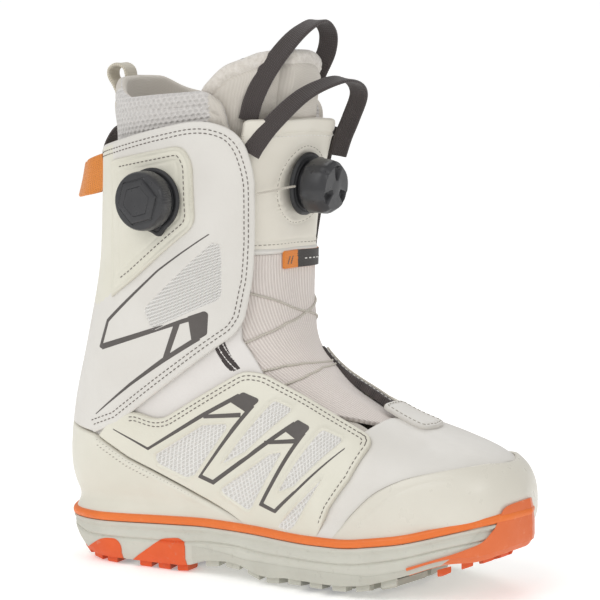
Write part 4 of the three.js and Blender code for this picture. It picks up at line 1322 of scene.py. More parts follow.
def make_heel_counter():
    line = [[-139, 31.5], [4, 31], [-43.3, 47.6], [-92.3, 65.6], [-116, 78.6], [-152, 84]]
    outline = both_sides(line, "back")
    seam = [[-4, 31.5], [-43.5, 45], [-92, 62.5], [-115, 75]]
    features = [{"line": side_line(seam, side), "closed": False, "profile": ridge(0.55, 1.5),
                 "rings": (0.01, 0.8, 1.8)} for side in SIDES]
    panel = Skin(outline, PANEL, "back", features=features, flush=True)
    obj = panel.build("heel_counter_shell", M["counter"])
    place(obj, "root", ("heel_counter",))

    def diagonal(x, y, z):
        return x > -116 and z > 36 and z > 31 + (4 - x) * 0.30
    lines = rows_inside(panel, 1.8, diagonal) + rows_inside(panel, 4.4, diagonal)
    sewn = stitches("heel_counter_stitches", lines, "thread_grey", 2.6, 2.0, 0.6, slant=0.7)
    place(sewn, "root")


def back_band(t_low, t_high, half, corner=0.12):
    """A closed strip up the back centre, half its width given as a share of the half girth."""
    corners = [[t_low, 1 - half], [t_high, 1 - half], [t_high, 1 + half], [t_low, 1 + half]]
    flat = np.array(corners) * [ALONG_MM, AROUND_MM]
    line = resample(np.array(rounded([[*p, corner * ALONG_MM] for p in flat])), 1.4, closed=True)
    return np.stack(from_back(line), -1)


def make_backstay():
    outline = back_band(9.75, 13.75, 0.075)
    sign = orientation(back_chart(*outline.T))
    features = [inset_feature(outline, "back", sign, 3.0, groove(0.35, 0.8))]
    panel = Skin(outline, (PANEL[1] + 0.1, PANEL[1] + 1.7), "back", features=features)

    def upper_part(skin_panel, faces):
        return (skin_panel.base[faces].mean(1)[:, 2] > 150).astype(float)
    obj = panel.build("backstay_shell", M["white"], materials=(M["cream"],), region=upper_part)
    place(obj, "root", ("backstay",))
    lines = rows_inside(panel, 1.7, None)
    place(stitches("backstay_stitches", lines, "thread_grey", width=0.55), "root")


def make_dial_patch():
    outline = one_side(DIAL_PATCH, "L")
    sign = orientation(front_chart(*outline.T))
    features = [
        inset_feature(outline, "front", sign, 2.6, groove(0.5, 0.9)),
        inset_feature(outline, "front", sign, 8.5, groove(0.35, 0.9)),
    ]
    panel = Skin(outline, PATCH, features=features, roll=1.2)
    obj = panel.build("dial_patch_shell", M["cream"])
    place(obj, "cuff_lateral_flap", ("dial_patch",))

    def inner(x, y, z):
        return x > -90
    lines = rows_inside(panel, 5.2, inner)
    place(stitches("dial_patch_stitches", lines), "cuff_lateral_flap")


RAND_EDGE = [[53, 31], [61, 41.5], [72, 53.5], [83, 63], [98, 70.5], [115, 74.8], [131, 77.3]]


def edge_curve(points, count=40):
    return spline(points, np.linspace(0, 1, count)).tolist()


def make_toe_rand():
    line = [[133, 41.5], [98, 35], [65, 30], *edge_curve(RAND_EDGE)]
    outline = both_sides(line, "toe")
    crest = edge_curve([[x + 5.5, z - 3.5] for x, z in RAND_EDGE[1:-1]])
    features = [open_feature(crest, side, groove(0.35, 0.8)) for side in "LM"]
    panel = Skin(outline, (0.1, 2.3), "toe", features=features, roll=1.1, flush=True)
    place(panel.build("toe_rand_shell", M["gloss"]), "root", ("toe_rand",))
    for side, label in SIDES.items():
        edge = side_line(edge_curve(RAND_EDGE), side)
        seam = tube(f"toe_rand_seam_{label}", skin(*edge.T, np.full(len(edge), 0.15)), 0.5,
                    M["thread_grey"], 8)
        place(seam, "root")


def make_vamp():
    line = [[70, 100.5], [58, 88], [44, 60], [40, 30], [60, 27], [77, 44], [86, 54], [107, 62],
            [137.5, 64]]
    outline = both_sides(line, "front")
    panel = Skin(outline, (BASE[0], 0.0), "front", flush=True)
    place(panel.build("vamp_shell", M["white"]), "root", ("vamp",))


# ------------------------------------------------------------------ sole unit
SOLE_LATERAL = [[151, 4], [146, -18], [134, -34], [112, -48], [85, -56], [55, -58.5], [20, -56],
                [-20, -50.5], [-70, -49], [-112, -49], [-138, -39], [-151, -19], [-155, -1]]
SOLE_MEDIAL = [[151, 4], [143, 22], [131, 38], [111, 51], [85, 58.5], [55, 58.5], [20, 54.5],
               [-20, 49.5], [-70, 47.5], [-112, 47], [-138, 37], [-151, 17], [-155, -1]]
GROUND_LINE = [[-155, 22], [-142, 12], [-128, 2.5], [-116, 0], [-50, 0], [-42, 5], [-18, 7],
               [-6, 4], [8, 0], [80, 0], [104, 4], [126, 13], [142, 23], [152, 30]]
STRIPE_LINE = [[-155, 25], [-115, 26], [-84, 27.5], [-40, 30], [5, 30], [34, 29], [65, 29.5],
               [98, 34.5], [124, 41.5], [143, 46.5], [152, 48]]
BOARD_LINE = [[-155, 30.8], [20, 30.8], [60, 31.8], [96, 34.8], [125, 39.8], [140, 42.8], [147, 44.8]]
STRIPE_HEIGHT = 4.8
TREAD = 3.6
PLAN_STEPS = 330

HEEL_LUG_REAR = [[-170, -10], [-97, -10], [-97, 12, 3], [-101, 16, 3.5], [-112, 15.3, 5],
                 [-127, 6.5, 2], [-142, 8], [-170, 8]]
HEEL_LUG_FRONT = [[-92, -10], [-91, 3.2], [-68, 19.5, 4], [-55, 21.2, 3], [-51, 18, 3], [-50.5, -10]]
TOE_BUMPER = [[102, -10], [160, -10], [160, 57.5], [150, 57.5, 3], [146, 55.5, 2], [143.5, 44],
              [139, 36, 4], [127, 30.5, 4], [102, 21.5]]
FOREFOOT = [[-46, -20], [170, -20], [170, 80], [143.5, 50], [127, 30], [103, 20.5], [80, 15],
            [-8, 14], [-30, 16.5], [-46, 17.5]]


def ground(x):
    return height_at(GROUND_LINE, x)


def stripe(x):
    return height_at(STRIPE_LINE, x)


def rise(x, y):
    """How much the forefoot's underside lifts towards the toe and the sole's edge."""
    return (6.5 * smoothstep(x, 55, 112) * smoothstep(-x, -152, -120)
            + 3.0 * smoothstep(x, 0, 25) * smoothstep(np.abs(y), 30, 50))


def sole_plan():
    """The sole's outline from the toe along the lateral side to the heel, and back on the medial
    side, with the outward direction at each point."""
    u = np.linspace(0, 1, PLAN_STEPS + 1)
    lateral, medial = spline(SOLE_LATERAL, u), spline(SOLE_MEDIAL, u)
    loop = np.vstack([lateral, medial[-2:0:-1]])
    along = np.roll(loop, -1, 0) - np.roll(loop, 1, 0)
    out = np.stack([-along[:, 1], along[:, 0]], -1)
    out /= np.linalg.norm(out, axis=1, keepdims=True)
    kernel = np.ones(9) / 9
    for k in range(2):
        padded = np.concatenate([out[-4:, k], out[:, k], out[:4, k]])
        out[:, k] = np.convolve(padded, kernel, "valid")
    out /= np.linalg.norm(out, axis=1, keepdims=True)
    return loop, -out if np.dot(out[0], [1, 0]) < 0 else out


PLAN, PLAN_OUT = sole_plan()


def slab(name, levels, material, hollow=None):
    """A closed body that follows the sole's outline. Each level is (offset, height), given as
    functions of the plan points or as arrays. hollow leaves a ring that wide."""
    rings = []
    for offset, height in levels:
        xy = PLAN + PLAN_OUT * np.reshape(offset, (-1, 1))
        z = np.broadcast_to(height, len(PLAN))
        rings.append(np.column_stack([xy, z]))
    n = len(PLAN)
    if hollow is not None:
        for source in (rings[-1], rings[0]):
            inner = source.copy()
            inner[:, :2] = PLAN - PLAN_OUT * hollow
            rings.append(inner)
        verts = np.vstack(rings)
        faces = ring_faces(len(rings), n, wrap=True)
        return add_mesh(name, verts, faces, material, smooth_angle=35)
    verts = [np.vstack(rings)]
    faces = ring_faces(len(rings), n, wrap=False)
    start = len(verts[0])
    cells = 8
    for ring, base, flip in ((rings[0], 0, True), (rings[-1], (len(rings) - 1) * n, False)):
        rows = []
        for i in range(PLAN_STEPS + 1):
            j = (n - i) % n
            if i in (0, PLAN_STEPS):
                rows.append([base + i] * (cells + 1))
                continue
            middle = [ring[i] + (ring[j] - ring[i]) * k / cells for k in range(1, cells)]
            verts.append(np.array(middle))
            rows.append([base + i, *range(start, start + cells - 1), base + j])
            start += cells - 1
        for i in range(PLAN_STEPS):
            for k in range(cells):
                face = [rows[i][k], rows[i + 1][k], rows[i + 1][k + 1], rows[i][k + 1]]
                face = list(dict.fromkeys(face))
                faces.append(face[::-1] if flip else face)
    return add_mesh(name, np.vstack(verts), faces, material, smooth_angle=35)


def ring_faces(rows, n, wrap):
    faces = []
    for r in range(rows if wrap else rows - 1):
        s = (r + 1) % rows
        for i in range(n):
            j = (i + 1) % n
            faces.append([r * n + i, r * n + j, s * n + j, s * n + i])
    return faces


def prism(points, y_low=-120, y_high=120):
    """A cutter: a side-view outline carried across the boot."""
    line = np.array(rounded(points))
    n = len(line)
    verts = [[x, y, z] for y in (y_low, y_high) for x, z in line]
    sign = orientation(line)
    ring = list(range(n)) if sign > 0 else list(range(n))[::-1]
    faces = [ring, [i + n for i in ring[::-1]]]
    faces += [[ring[i], ring[i] + n, ring[(i + 1) % n] + n, ring[(i + 1) % n]] for i in range(n)]
    return add_mesh("cutter", verts, [f[::-1] for f in faces], M["sole"])


def cut(obj, operation, cutter):
    """Boolean with a cutter, which is then removed."""
    step = obj.modifiers.new("cut", "BOOLEAN")
    step.operation, step.object, step.solver = operation, cutter, "EXACT"
    apply_modifiers(obj)
    bpy.data.objects.remove(cutter, do_unlink=True)
    return obj


def apply_modifiers(obj):
    graph = bpy.context.evaluated_depsgraph_get()
    graph.update()
    data = bpy.data.meshes.new_from_object(obj.evaluated_get(graph))
    obj.modifiers.clear()
    old = obj.data
    obj.data = data
    bpy.data.meshes.remove(old)
    obj.data.shade_smooth()
    obj.data.set_sharp_from_angle(angle=math.radians(35))


def wall_relief(depth, x, low):
    """How far the sole's wall stands out at a depth below the stripe, low above the tread."""
    out = 0.9 * bump_at(depth, 1.6, 1.6) - 0.7 * bump_at(depth, 5.0, 1.9)
    out = out - 1.0 * bump_at(depth, 10.2, 0.7) + 0.15 * smoothstep(depth, 10.8, 12)
    segment = np.abs((x - 4) / 17.0 - np.round((x - 4) / 17.0)) * 17.0
    band = smoothstep(depth, 11.2, 12.4) * smoothstep(low, 4.5, 6.5)
    panels = smoothstep(segment, 1.6, 2.6) * band * smoothstep(x, -42, -38) * smoothstep(-x, 8, 14)
    return out - 0.8 * panels


def sole_wall(extra=0.0):
    """Levels of the sole's wall, from the tread's root up to the stripe."""
    x = PLAN[:, 0]
    bottom = ground(x) + TREAD + rise(x, PLAN[:, 1])
    top = stripe(x) - 0.3
    depths = [24, 20, 17, 15.5, 14, 13, 12.4, 11.8, 11.2, 10.8, 10.5, 10.2, 9.9, 9.5, 8.8, 7.5, 6.5, 5.7,
              5, 4.3, 3.6, 2.8, 2.2, 1.6, 1.0, 0.5, 0.15]
    scale = np.minimum(1, (top - bottom) / 24.3)
    levels = [(np.full(len(x), extra) - 4.5, bottom)]
    for depth in depths:
        z = top - depth * scale
        low = z - bottom + TREAD
        foot = -3.0 * (1 - smoothstep(low, 1.5, 9)) ** 1.5
        levels.append((foot + wall_relief(depth * scale ** 0.25, x, low) - 0.2 + extra, z))
    levels.append((np.full(len(x), extra) - 0.6, top))
    return levels


def tread_floor(x, y):
    """Where the lugs end."""
    return ground(x) + rise(x, y)


def tread_block(name, top_view, material):
    """Rubber lugs under the sole: closed blocks from just inside the sole down to the ground."""
    verts, faces = [], []
    for outline in top_view:
        line = np.array(outline, float)
        if orientation(line) < 0:
            line = line[::-1]
        middle = line.mean(0)
        n, start = len(line), len(verts)
        for grow, drop in ((1.0, -0.4), (1.0, TREAD - 1.0), (0.93, TREAD - 0.2), (0.86, TREAD)):
            for p in line:
                x, y = middle + (p - middle) * grow
                verts.append([x, y, tread_floor(p[0], p[1]) + TREAD - drop])
        for r in range(3):
            for i in range(n):
                j = (i + 1) % n
                faces.append([start + r * n + j, start + r * n + i, start + (r + 1) * n + i,
                              start + (r + 1) * n + j])
        faces.append([start + i for i in range(n)])
        faces.append([start + 3 * n + i for i in range(n)][::-1])
    return add_mesh(name, verts, faces, M[material], smooth_angle=30)


def edge_lugs(x_low, x_high, pitch, share, depth, inset=4.2):
    """Lugs along the sole's edge between two x, each tapering inwards."""
    lugs = []
    foot = PLAN - PLAN_OUT * inset
    run = run_along(foot)
    for at in np.arange(pitch / 2, run[-1], pitch):
        i, j = (int(np.searchsorted(run, at + d * pitch * share / 2)) % len(foot) for d in (-1, 1))
        if not (x_low < foot[i][0] < x_high and x_low < foot[j][0] < x_high):
            continue
        inward = -(PLAN_OUT[i] + PLAN_OUT[j]) / 2 * depth
        slant = (foot[j] - foot[i]) * 0.35
        lugs.append([foot[i], foot[j], foot[j] + inward - slant, foot[i] + inward + slant])
    return lugs


def chevrons(x_low, x_high, pitch, half, width):
    """V-shaped lugs down the middle of the sole, pointing to the toe."""
    lugs = []
    for x in np.arange(x_low, x_high, pitch):
        reach = half(x)
        for side in (-1, 1):
            inner, outer = 2.2 * side, reach * side
            lugs.append([[x, inner], [x - 7, outer], [x - 7 - width * 0.8, outer], [x - width, inner]])
    return lugs


def make_sole():
    lower = slab("midsole_shell", sole_wall(), M["sole"])
    fore = slab("outsole_shell", sole_wall(0.25), M["outsole"])
    rear_lug = slab("heel_lug_rear_shell", sole_wall(0.5), M["orange_red"])
    front_lug = slab("heel_lug_front_shell", sole_wall(0.5), M["orange_red"])
    for outline in (HEEL_LUG_REAR, HEEL_LUG_FRONT, FOREFOOT, TOE_BUMPER):
        cut(lower, "DIFFERENCE", prism(outline))
    cut(fore, "INTERSECT", prism(FOREFOOT))
    cut(fore, "DIFFERENCE", prism(TOE_BUMPER))
    cut(rear_lug, "INTERSECT", prism(HEEL_LUG_REAR))
    cut(front_lug, "INTERSECT", prism(HEEL_LUG_FRONT))
    facet = [[-80, 4.8, 1], [-66, 15.5, 2.5], [-60, 16.5, 2], [-57.5, 6.5, 2], [-62, 4.5, 1]]
    small = [[-118, 6], [-110, 11.3, 2], [-104, 11.8, 1.5], [-103, 6.5, 1.5]]
    for y_low, y_high in ((-80, -48.4), (47.2, 80)):
        cut(front_lug, "DIFFERENCE", prism(facet, y_low, y_high))
        cut(rear_lug, "DIFFERENCE", prism(small, y_low, y_high))
    place(lower, "root", ("midsole",))
    place(fore, "root", ("outsole_forefoot",))
    place(rear_lug, "root", ("heel_lug_rear",))
    place(front_lug, "root", ("heel_lug_front",))

    tread = edge_lugs(-40, 100, 15.5, 0.6, 13)
    tread += chevrons(0, 100, 12.5, lambda x: 30 + 0.06 * x, 6.5)
    tread += chevrons(-40, -10, 14, lambda x: 18, 6)
    place(tread_block("forefoot_tread", tread, "outsole"), "root")
    rear = edge_lugs(-135, -98, 12, 0.6, 12) + chevrons(-112, -99, 13, lambda x: 24, 6)
    place(tread_block("heel_tread_rear", rear, "orange_red"), "root")
    front = edge_lugs(-90, -51, 13.2, 0.58, 14) + chevrons(-74, -58, 13, lambda x: 26, 6.5)
    place(tread_block("heel_tread_front", front, "orange_red"), "root")


def make_bumper():
    x = PLAN[:, 0]
    low = ground(x) + rise(x, PLAN[:, 1]) * 1.25
    mid = low + 8
    levels = [(-5.0, low + 2.4), (-3.0, low + 1.0), (-1.6, low + 2.0), (-0.2, low + 4.5), (0.8, mid - 3),
              (1.3, mid), (1.2, mid * 0.5 + 25), (0.8, np.maximum(50, mid + 2)),
              (-0.2, np.maximum(56, mid + 4)), (-1.7, np.maximum(62, mid + 6)), (-3.0, 68)]
    bumper = slab("toe_bumper_shell", levels, M["bumper"])
    cut(bumper, "INTERSECT", prism(TOE_BUMPER))
    for side in (-1, 1):
        high = [[y, z] for y, z in ((4 + side * 60, 45.8), (4 + side * 31.5, 45.8), (4 + side * 22, 58.5),
                                    (4 + side * 15, 63), (4 + side * 15, 80), (4 + side * 60, 80))]
        cut(bumper, "DIFFERENCE", front_prism(high))
    badge = [[-3.5, 49], [-3.5, 56.5], [11.5, 56.5], [11.5, 49]]
    cut(bumper, "DIFFERENCE", front_prism(badge, 152.2))
    place(bumper, "root", ("toe_bumper",))
    lugs = edge_lugs(106, 150, 13, 0.55, 8, inset=11)
    place(tread_block("toe_tread", lugs, "orange_red"), "root")


def front_prism(points, x_low=60, x_high=200):
    """A cutter carried along X, with its outline seen from the front."""
    line = np.array(points, float)
    n = len(line)
    verts = [[x, y, z] for x in (x_low, x_high) for y, z in line]
    ring = list(range(n)) if orientation(line) > 0 else list(range(n))[::-1]
    faces = [ring[::-1], [i + n for i in ring]]
    faces += [[ring[i], ring[(i + 1) % n], ring[(i + 1) % n] + n, ring[i] + n] for i in range(n)]
    return add_mesh("cutter", verts, faces, M["sole"])


def make_foxing():
    x = PLAN[:, 0]
    low = stripe(x)
    profile = [(-0.9, 0.0), (0.3, 0.1), (0.9, 0.6), (1.25, 1.6), (1.3, 2.6), (1.0, 3.7), (0.3, 4.5),
               (-0.9, STRIPE_HEIGHT)]
    levels = [(offset, low + up) for offset, up in profile]
    band = slab("foxing_band_shell", levels, M["orange"], hollow=9)
    cut(band, "DIFFERENCE", prism([[141.8, 20], [175, 20], [175, 80], [141.8, 80]], -27, 35))
    place(band, "root", ("foxing_band",))
    outline = both_sides([[-138, 28.5], [-134, 29], [-141, 34.5, 2], [-151, 43]], "back")
    tab = Skin(outline, (1.5, 4.0), "back", roll=1.0, pitch=2)
    place(tab.build("heel_rise_tab", M["orange"]), "root")


def make_insides_low():
    """The soft pieces inside the sole: the footbed and the heel cushion."""
    plan = PLAN[::4] - PLAN_OUT[::4] * 17.2
    n = len(plan)
    verts = []
    rows = ((0.985, 8.3), (1.0, 8.9), (1.0, 9.8), (0.985, 10.7), (0.94, 11.0), (0.6, 10.7), (0.2, 10.6))
    centre = np.array([-6.0, 0.0])
    for share, up in rows:
        ring = centre + (plan - centre) * share
        verts.append(np.column_stack([ring, height_at(BOARD_LINE, ring[:, 0]) + up]))
    verts = np.vstack(verts)
    faces = ring_faces(len(rows), n, wrap=False)
    faces.append(list(range(n))[::-1])
    top = (len(rows) - 1) * n
    faces.append([top + i for i in range(n)])
    footbed = add_mesh("footbed_pad", verts, faces, M["fleece"], smooth_angle=60)
    place(footbed, "root", ("footbed",))
    pad = []
    shape = [[-131.5, -21.5, 7], [-90.5, -21.5, 7], [-90.5, 19.5, 7], [-131.5, 19.5, 7]]
    line = resample(np.array(rounded(shape)), 2, closed=True)
    middle = line.mean(0)
    for share, z in ((0.94, 18.5), (1.0, 19.6), (1.0, 23.2), (0.94, 24.3), (0.5, 24.35)):
        pad.append(np.column_stack([middle + (line - middle) * share, np.full(len(line), z)]))
    m = len(line)
    faces = ring_faces(len(pad), m, wrap=False)
    faces += [list(range(m))[::-1], [(len(pad) - 1) * m + i for i in range(m)]]
    cushion = add_mesh("heel_cushion_pad", np.vstack(pad), faces, M["foam"], smooth_angle=60)
    place(cushion, "root", ("heel_cushion",))


# ------------------------------------------------------------------ tongue
TONGUE_UPPER = [[-47, 192, 3], [-47, 269.5, 3], [-30, 269.5], [-4, 269.5], [27, 268.5, 6],
                [36, 263, 4], [36, 192, 4]]
TONGUE_LOWER = [[-45, 190], [-45, 143], [-43, 134], [-42, 124], [-40, 112], [-36, 104, 3],
                [-14, 97, 3], [18, 97, 3], [30, 108], [33, 127], [34, 134], [36, 143], [36, 190]]
DIAL_RING = 22.5
FOLD_LOW, FOLD_HIGH = [60, 0, 98], [-8, 0, 178]      # the knit stretches between these


def fullness(base):
    """How far the tongue stands out on its medial half, and sinks over the instep."""
    y, z = base[..., 1], base[..., 2]
    side = smoothstep(y, 0, 23) * (4.6 * smoothstep(z, 128, 155) + 2.6 * bump_at(z, 176, 30))
    return side - 4.2 * smoothstep(y, -14, 5) * smoothstep(-z, -127, -112)


def on_knit(obj, slot, replaces=()):
    """Bakes a piece that lies on the knit, which stretches from the boot up to the tongue's stiff
    part, and hides the CAD nodes it replaces.
    """
    bend(obj, ("root", "tongue"), FOLD_LOW, FOLD_HIGH, slot, replaces)


def on_tongue(tq, height):
    """Points and outward directions on the padded tongue along (t, q) rows."""
    base = surface(*tq.T)
    return skin(*tq.T, fullness(base) + height), normals(*tq.T)


def circle_line(centre_y, centre_z, radius):
    turn = np.linspace(0, 2 * math.pi, 61)[:-1]
    return np.array([front_view(centre_y + radius * math.cos(a), centre_z + radius * math.sin(a))
                     for a in turn])


def make_tongue():
    outline = front_outline(TONGUE_UPPER)
    ring = circle_line(FRONT_DIAL[1], FRONT_DIAL[2] - 1, DIAL_RING)
    hem = front_line([[-40, 260.5], [35, 260.5]])
    fold = front_line([[-40, 198], [35, 198]])
    features = [
        {"line": ring, "closed": True, "rings": (0.01, 0.8, 1.6),
         "profile": lambda away: 0.5 * bump_at(away, -1.2, 1.2) - 0.35 * bump_at(away, 0.6, 0.8)},
        {"line": hem, "closed": False, "profile": groove(0.7, 0.8), "rings": (0.01, 0.6, 1.2)},
        {"line": fold, "closed": False, "profile": groove(0.35, 0.8), "rings": (0.01, 0.6, 1.2)},
    ]
    upper = Skin(outline, (-5.8, -2.8), features=features, roll=1.4)

    def crown(panel):
        y = panel.base[:, 1]
        return 0.5 * bump_at(y, -4, 24)
    upper.sink = fullness
    obj = upper.build("tongue_upper_shell", M["knit_smooth"], crown)
    place(obj, "tongue", ("tongue_upper",))
    lines = [on_tongue(ring, -2.45), on_tongue(front_line([[-37, 195.6], [34, 195.6]]), -2.45)]
    place(stitches("tongue_stitches", lines, "thread_grey", width=0.55), "tongue")
    hem_line = [on_tongue(front_line([[-37, 258.8], [34, 258.8]]), -2.45)]
    place(stitches("tongue_hem_stitches", hem_line, "thread_pale"), "tongue")
    edge, _ = on_tongue(front_line([[-40, 191.6], [35.5, 191.6]]), -3.6)
    roll = tube("tongue_edge_roll", edge, 1.9, M["binding"], 12)
    place(roll, "tongue")

    lower = Skin(front_outline(TONGUE_LOWER), (-5.6, -3.0), roll=1.0)

    def soft(panel):
        y = panel.base[:, 1]
        return 0.5 * bump_at(y, -4, 20)
    lower.sink = fullness
    obj = lower.build("tongue_lower_shell", M["knit"], soft)
    on_knit(obj, "knit", ("tongue_lower",))


def make_side_tape():
    """The dark tape down the tongue's medial edge, from the pull loop's foot to the laces."""
    outline = front_outline([[33, 264, 2], [40.5, 262, 2], [43, 230], [43, 195], [41, 160],
                             [34, 141, 2], [30, 143, 2], [34.5, 165], [35.5, 200], [34, 235]])
    tape = Skin(outline, (-2.6, -0.2), roll=0.8, pitch=2.4)
    tape.sink = fullness
    place(tape.build("tongue_side_tape", M["webbing"]), "tongue")


def make_tag():
    outline = front_outline([[-11, 181, 1], [-11, 191.5, 1], [29, 191.5, 1], [29, 181, 1]], 1.0)
    tag = Skin(outline, (-2.2, -0.9), roll=0.4, pitch=1.6)
    tag.sink = fullness

    def split(panel, faces):
        return (panel.base[faces].mean(1)[:, 1] > 3.0).astype(float)
    obj = tag.build("tongue_tag_shell", M["tag_orange"], materials=(M["tag_charcoal"],), region=split)
    place(obj, "tongue", ("tongue_tag",))
    slant = [on_tongue(front_line([[y, 183.6], [y + 2.4, 188.6]], 0.5), -0.85) for y in (-7.4, -4.2)]
    place(stitches("tongue_tag_bars", slant, "thread", pitch=1.3, length=1.25, width=0.8), "tongue")
    bars = []
    for y in np.arange(8.5, 25, 3.2):
        bars.append(on_tongue(front_line([[y, 186], [y + 2.0, 186]], 0.5), -0.85))
    place(stitches("tongue_tag_dashes", bars, "thread_pale", pitch=2.0, length=1.9, width=0.9),
          "tongue")


TOP_TS = np.linspace(0, 10, 321)
TOP_POINTS = surface(TOP_TS[:, None], FRONT_SHARES[None])


def top_view(x, y):
    """(t, q) of the base surface's point seen at x, y from above, over the instep and toe."""
    shares = np.array([np.interp(y, row[:, 1], FRONT_SHARES) for row in TOP_POINTS])
    at = surface(TOP_TS, shares)[:, 0]
    t = float(np.interp(-x, -at, TOP_TS))
    return t, float(np.interp(t, TOP_TS, shares))


def top_outline(points, step=1.3):
    line = resample(np.array(rounded(points)), step, closed=True)
    return np.array([top_view(x, y) for x, y in line])


def make_throat():
    outline = top_outline([[61, -10, 3], [90, -11.5, 6], [92, 1], [90, 13.5, 6], [61, 11, 3]])
    sign = orientation(front_chart(*outline.T))
    features = [inset_feature(outline, "front", sign, 3.2, groove(0.35, 0.7))]
    tab = Skin(outline, (0.1, 2.5), features=features, roll=1.0)
    place(tab.build("throat_tab_shell", M["white"]), "root", ("throat_tab",))
    lines = rows_inside(tab, 2.0, None)
    place(stitches("throat_tab_stitches", lines, "thread_grey", width=0.55), "root")


# ------------------------------------------------------------------ straps and laces
def strap_shape(route, across, width, thickness=WEBBING_THICKNESS, step=1.0):
    """Rings of a flat strap: points along a smooth route, and its directions across and out."""
    u = np.linspace(0, 1, 400)
    points, sides = spline(route, u), spline(across, u)
    line = resample(np.hstack([points, sides]), step)
    points, sides = line[:, :3], line[:, 3:]
    tangent = np.gradient(points, axis=0)
    tangent /= np.linalg.norm(tangent, axis=1, keepdims=True)
    sides = sides - tangent * (sides * tangent).sum(1, keepdims=True)
    sides /= np.linalg.norm(sides, axis=1, keepdims=True)
    return points, sides, np.cross(tangent, sides), width, thickness


def strap(name, points, sides, out, width, thickness, material, inside=None):
    """A woven strap with rounded selvages, closed at both ends. inside is a second material for its
    inner face; on the rear pull loop it is a dark red copy of the orange webbing, painted shade."""
    half = width / 2
    steps = np.linspace(-1, 1, 13)
    upper = [(s * (half - thickness / 2), thickness / 2 * (1 - 0.12 * math.cos(s * 3)))
             for s in steps]
    bend = [(half - thickness / 2 + thickness / 2 * math.cos(a), thickness / 2 * math.sin(a))
            for a in np.linspace(math.pi / 2, -math.pi / 2, 6)[1:-1]]
    ring = upper + bend + [(-x, -h) for x, h in upper] + [(-x, -h) for x, h in bend]
    x = np.array([p[0] for p in ring])
    h = np.array([p[1] for p in ring])
    rings = points[:, None] + sides[:, None] * x[None, :, None] + out[:, None] * h[None, :, None]
    n, m = len(points), len(ring)
    faces = [f[::-1] for f in grid_faces(n, m)]
    faces += [list(range(m)), [(n - 1) * m + k for k in range(m)][::-1]]
    lower = np.arange(m) < len(upper) - 1
    which = np.concatenate([np.tile(lower, n - 1), [False, False]]) if inside else None
    obj = add_mesh(name, rings.reshape(-1, 3), faces, material, 50,
                   (inside,) if inside else (), which)
    run = run_along(points)
    set_flat(obj, np.stack(np.broadcast_arrays(run[:, None], x[None]), -1).reshape(-1, 2))
    return obj


LOOPS = {
    "front_pull_loop": (11, "webbing", [
        [-9, -41.5, 250], [-6, -39.5, 256], [1, -33, 268], [12, -17, 284], [22, 2, 292],
        [25, 16, 290.5], [24, 25, 283], [16, 29.5, 269], [9, 32, 257], [4, 34, 246]], [
            [0.85, 0.4, -0.2], [0.85, 0.35, -0.35], [0.85, 0.3, -0.35], [1, 0.1, -0.3], [1, 0, -0.25],
            [1, 0.1, -0.1], [1, 0.3, 0], [1, 0.4, 0], [0.8, 0.5, 0], [0.7, 0.6, 0]]),
    "liner_pull_loop": (11.5, "webbing", [
        [-14, -36.5, 269], [-11, -34.5, 282], [-5, -29, 298], [3, -19, 314], [8, -8, 323],
        [10, 3, 326], [10.5, 12, 319.5], [8, 15, 309], [2, 15, 297], [-3, 14, 287]], [
            [0.8, 0.4, -0.35], [0.8, 0.4, -0.35], [0.85, 0.3, -0.3], [0.95, 0.1, -0.3], [1, 0, -0.1],
            [1, 0.1, 0], [1, 0.2, 0], [1, 0.3, 0], [1, 0.4, 0], [1, 0.5, 0]]),
    "rear_pull_loop": (22, "webbing_orange", [
        [-131, -16, 235], [-145, -15, 230], [-155.5, -5, 228], [-155.5, 7, 229], [-146, 14, 234],
        [-131, 15, 239]], [[0.1, 0.15, 1], [0.2, 0.1, 1], [0.25, 0, 1], [0.2, 0, 1], [0.1, -0.1, 1],
                           [0, -0.15, 1]]),
    "liner_heel_loop": (12, "webbing_beige", [
        [-121.6, -8, 277], [-126, -8, 286], [-130, -8, 292], [-129.5, -8, 297], [-124, -8, 299.5],
        [-118.5, -8, 297], [-116.5, -8, 290]], [[0, 1, 0]] * 7),
}
# The body that each loop is sewn to, and the stretch over which the webbing bends.
LOOP_BENDS = {
    "front_pull_loop": ("tongue", [8, 0, 252], [8, 0, 270]),
    "liner_pull_loop": ("root", [0, 0, 280], [0, 0, 300]),
    "rear_pull_loop": ("root", [-133, 0, 234], [-147, 0, 234]),
    "liner_heel_loop": ("root", [-121, -8, 279], [-121, -8, 288]),
}


def make_loops():
    for name, (width, material, route, across) in LOOPS.items():
        shape = strap_shape(route, across, width)
        # The rear pull loop's inner face takes the dark red material: painted shade inside the loop.
        inner = M["loop_inside"] if name == "rear_pull_loop" else None
        obj = strap(f"{name}_webbing", *shape, M[material], inner)
        sewn_to, start, end = LOOP_BENDS[name]
        bend(obj, (sewn_to, name), start, end, material, (name,))
    tab = strap_shape([[-121, 0, 264], [-131, 0, 259], [-138, 0, 247], [-136, 0, 237], [-128, 0, 232]],
                      [[0, 1, 0]] * 5, 17)
    place(strap("liner_rear_tab", *tab, M["webbing"]), "root")


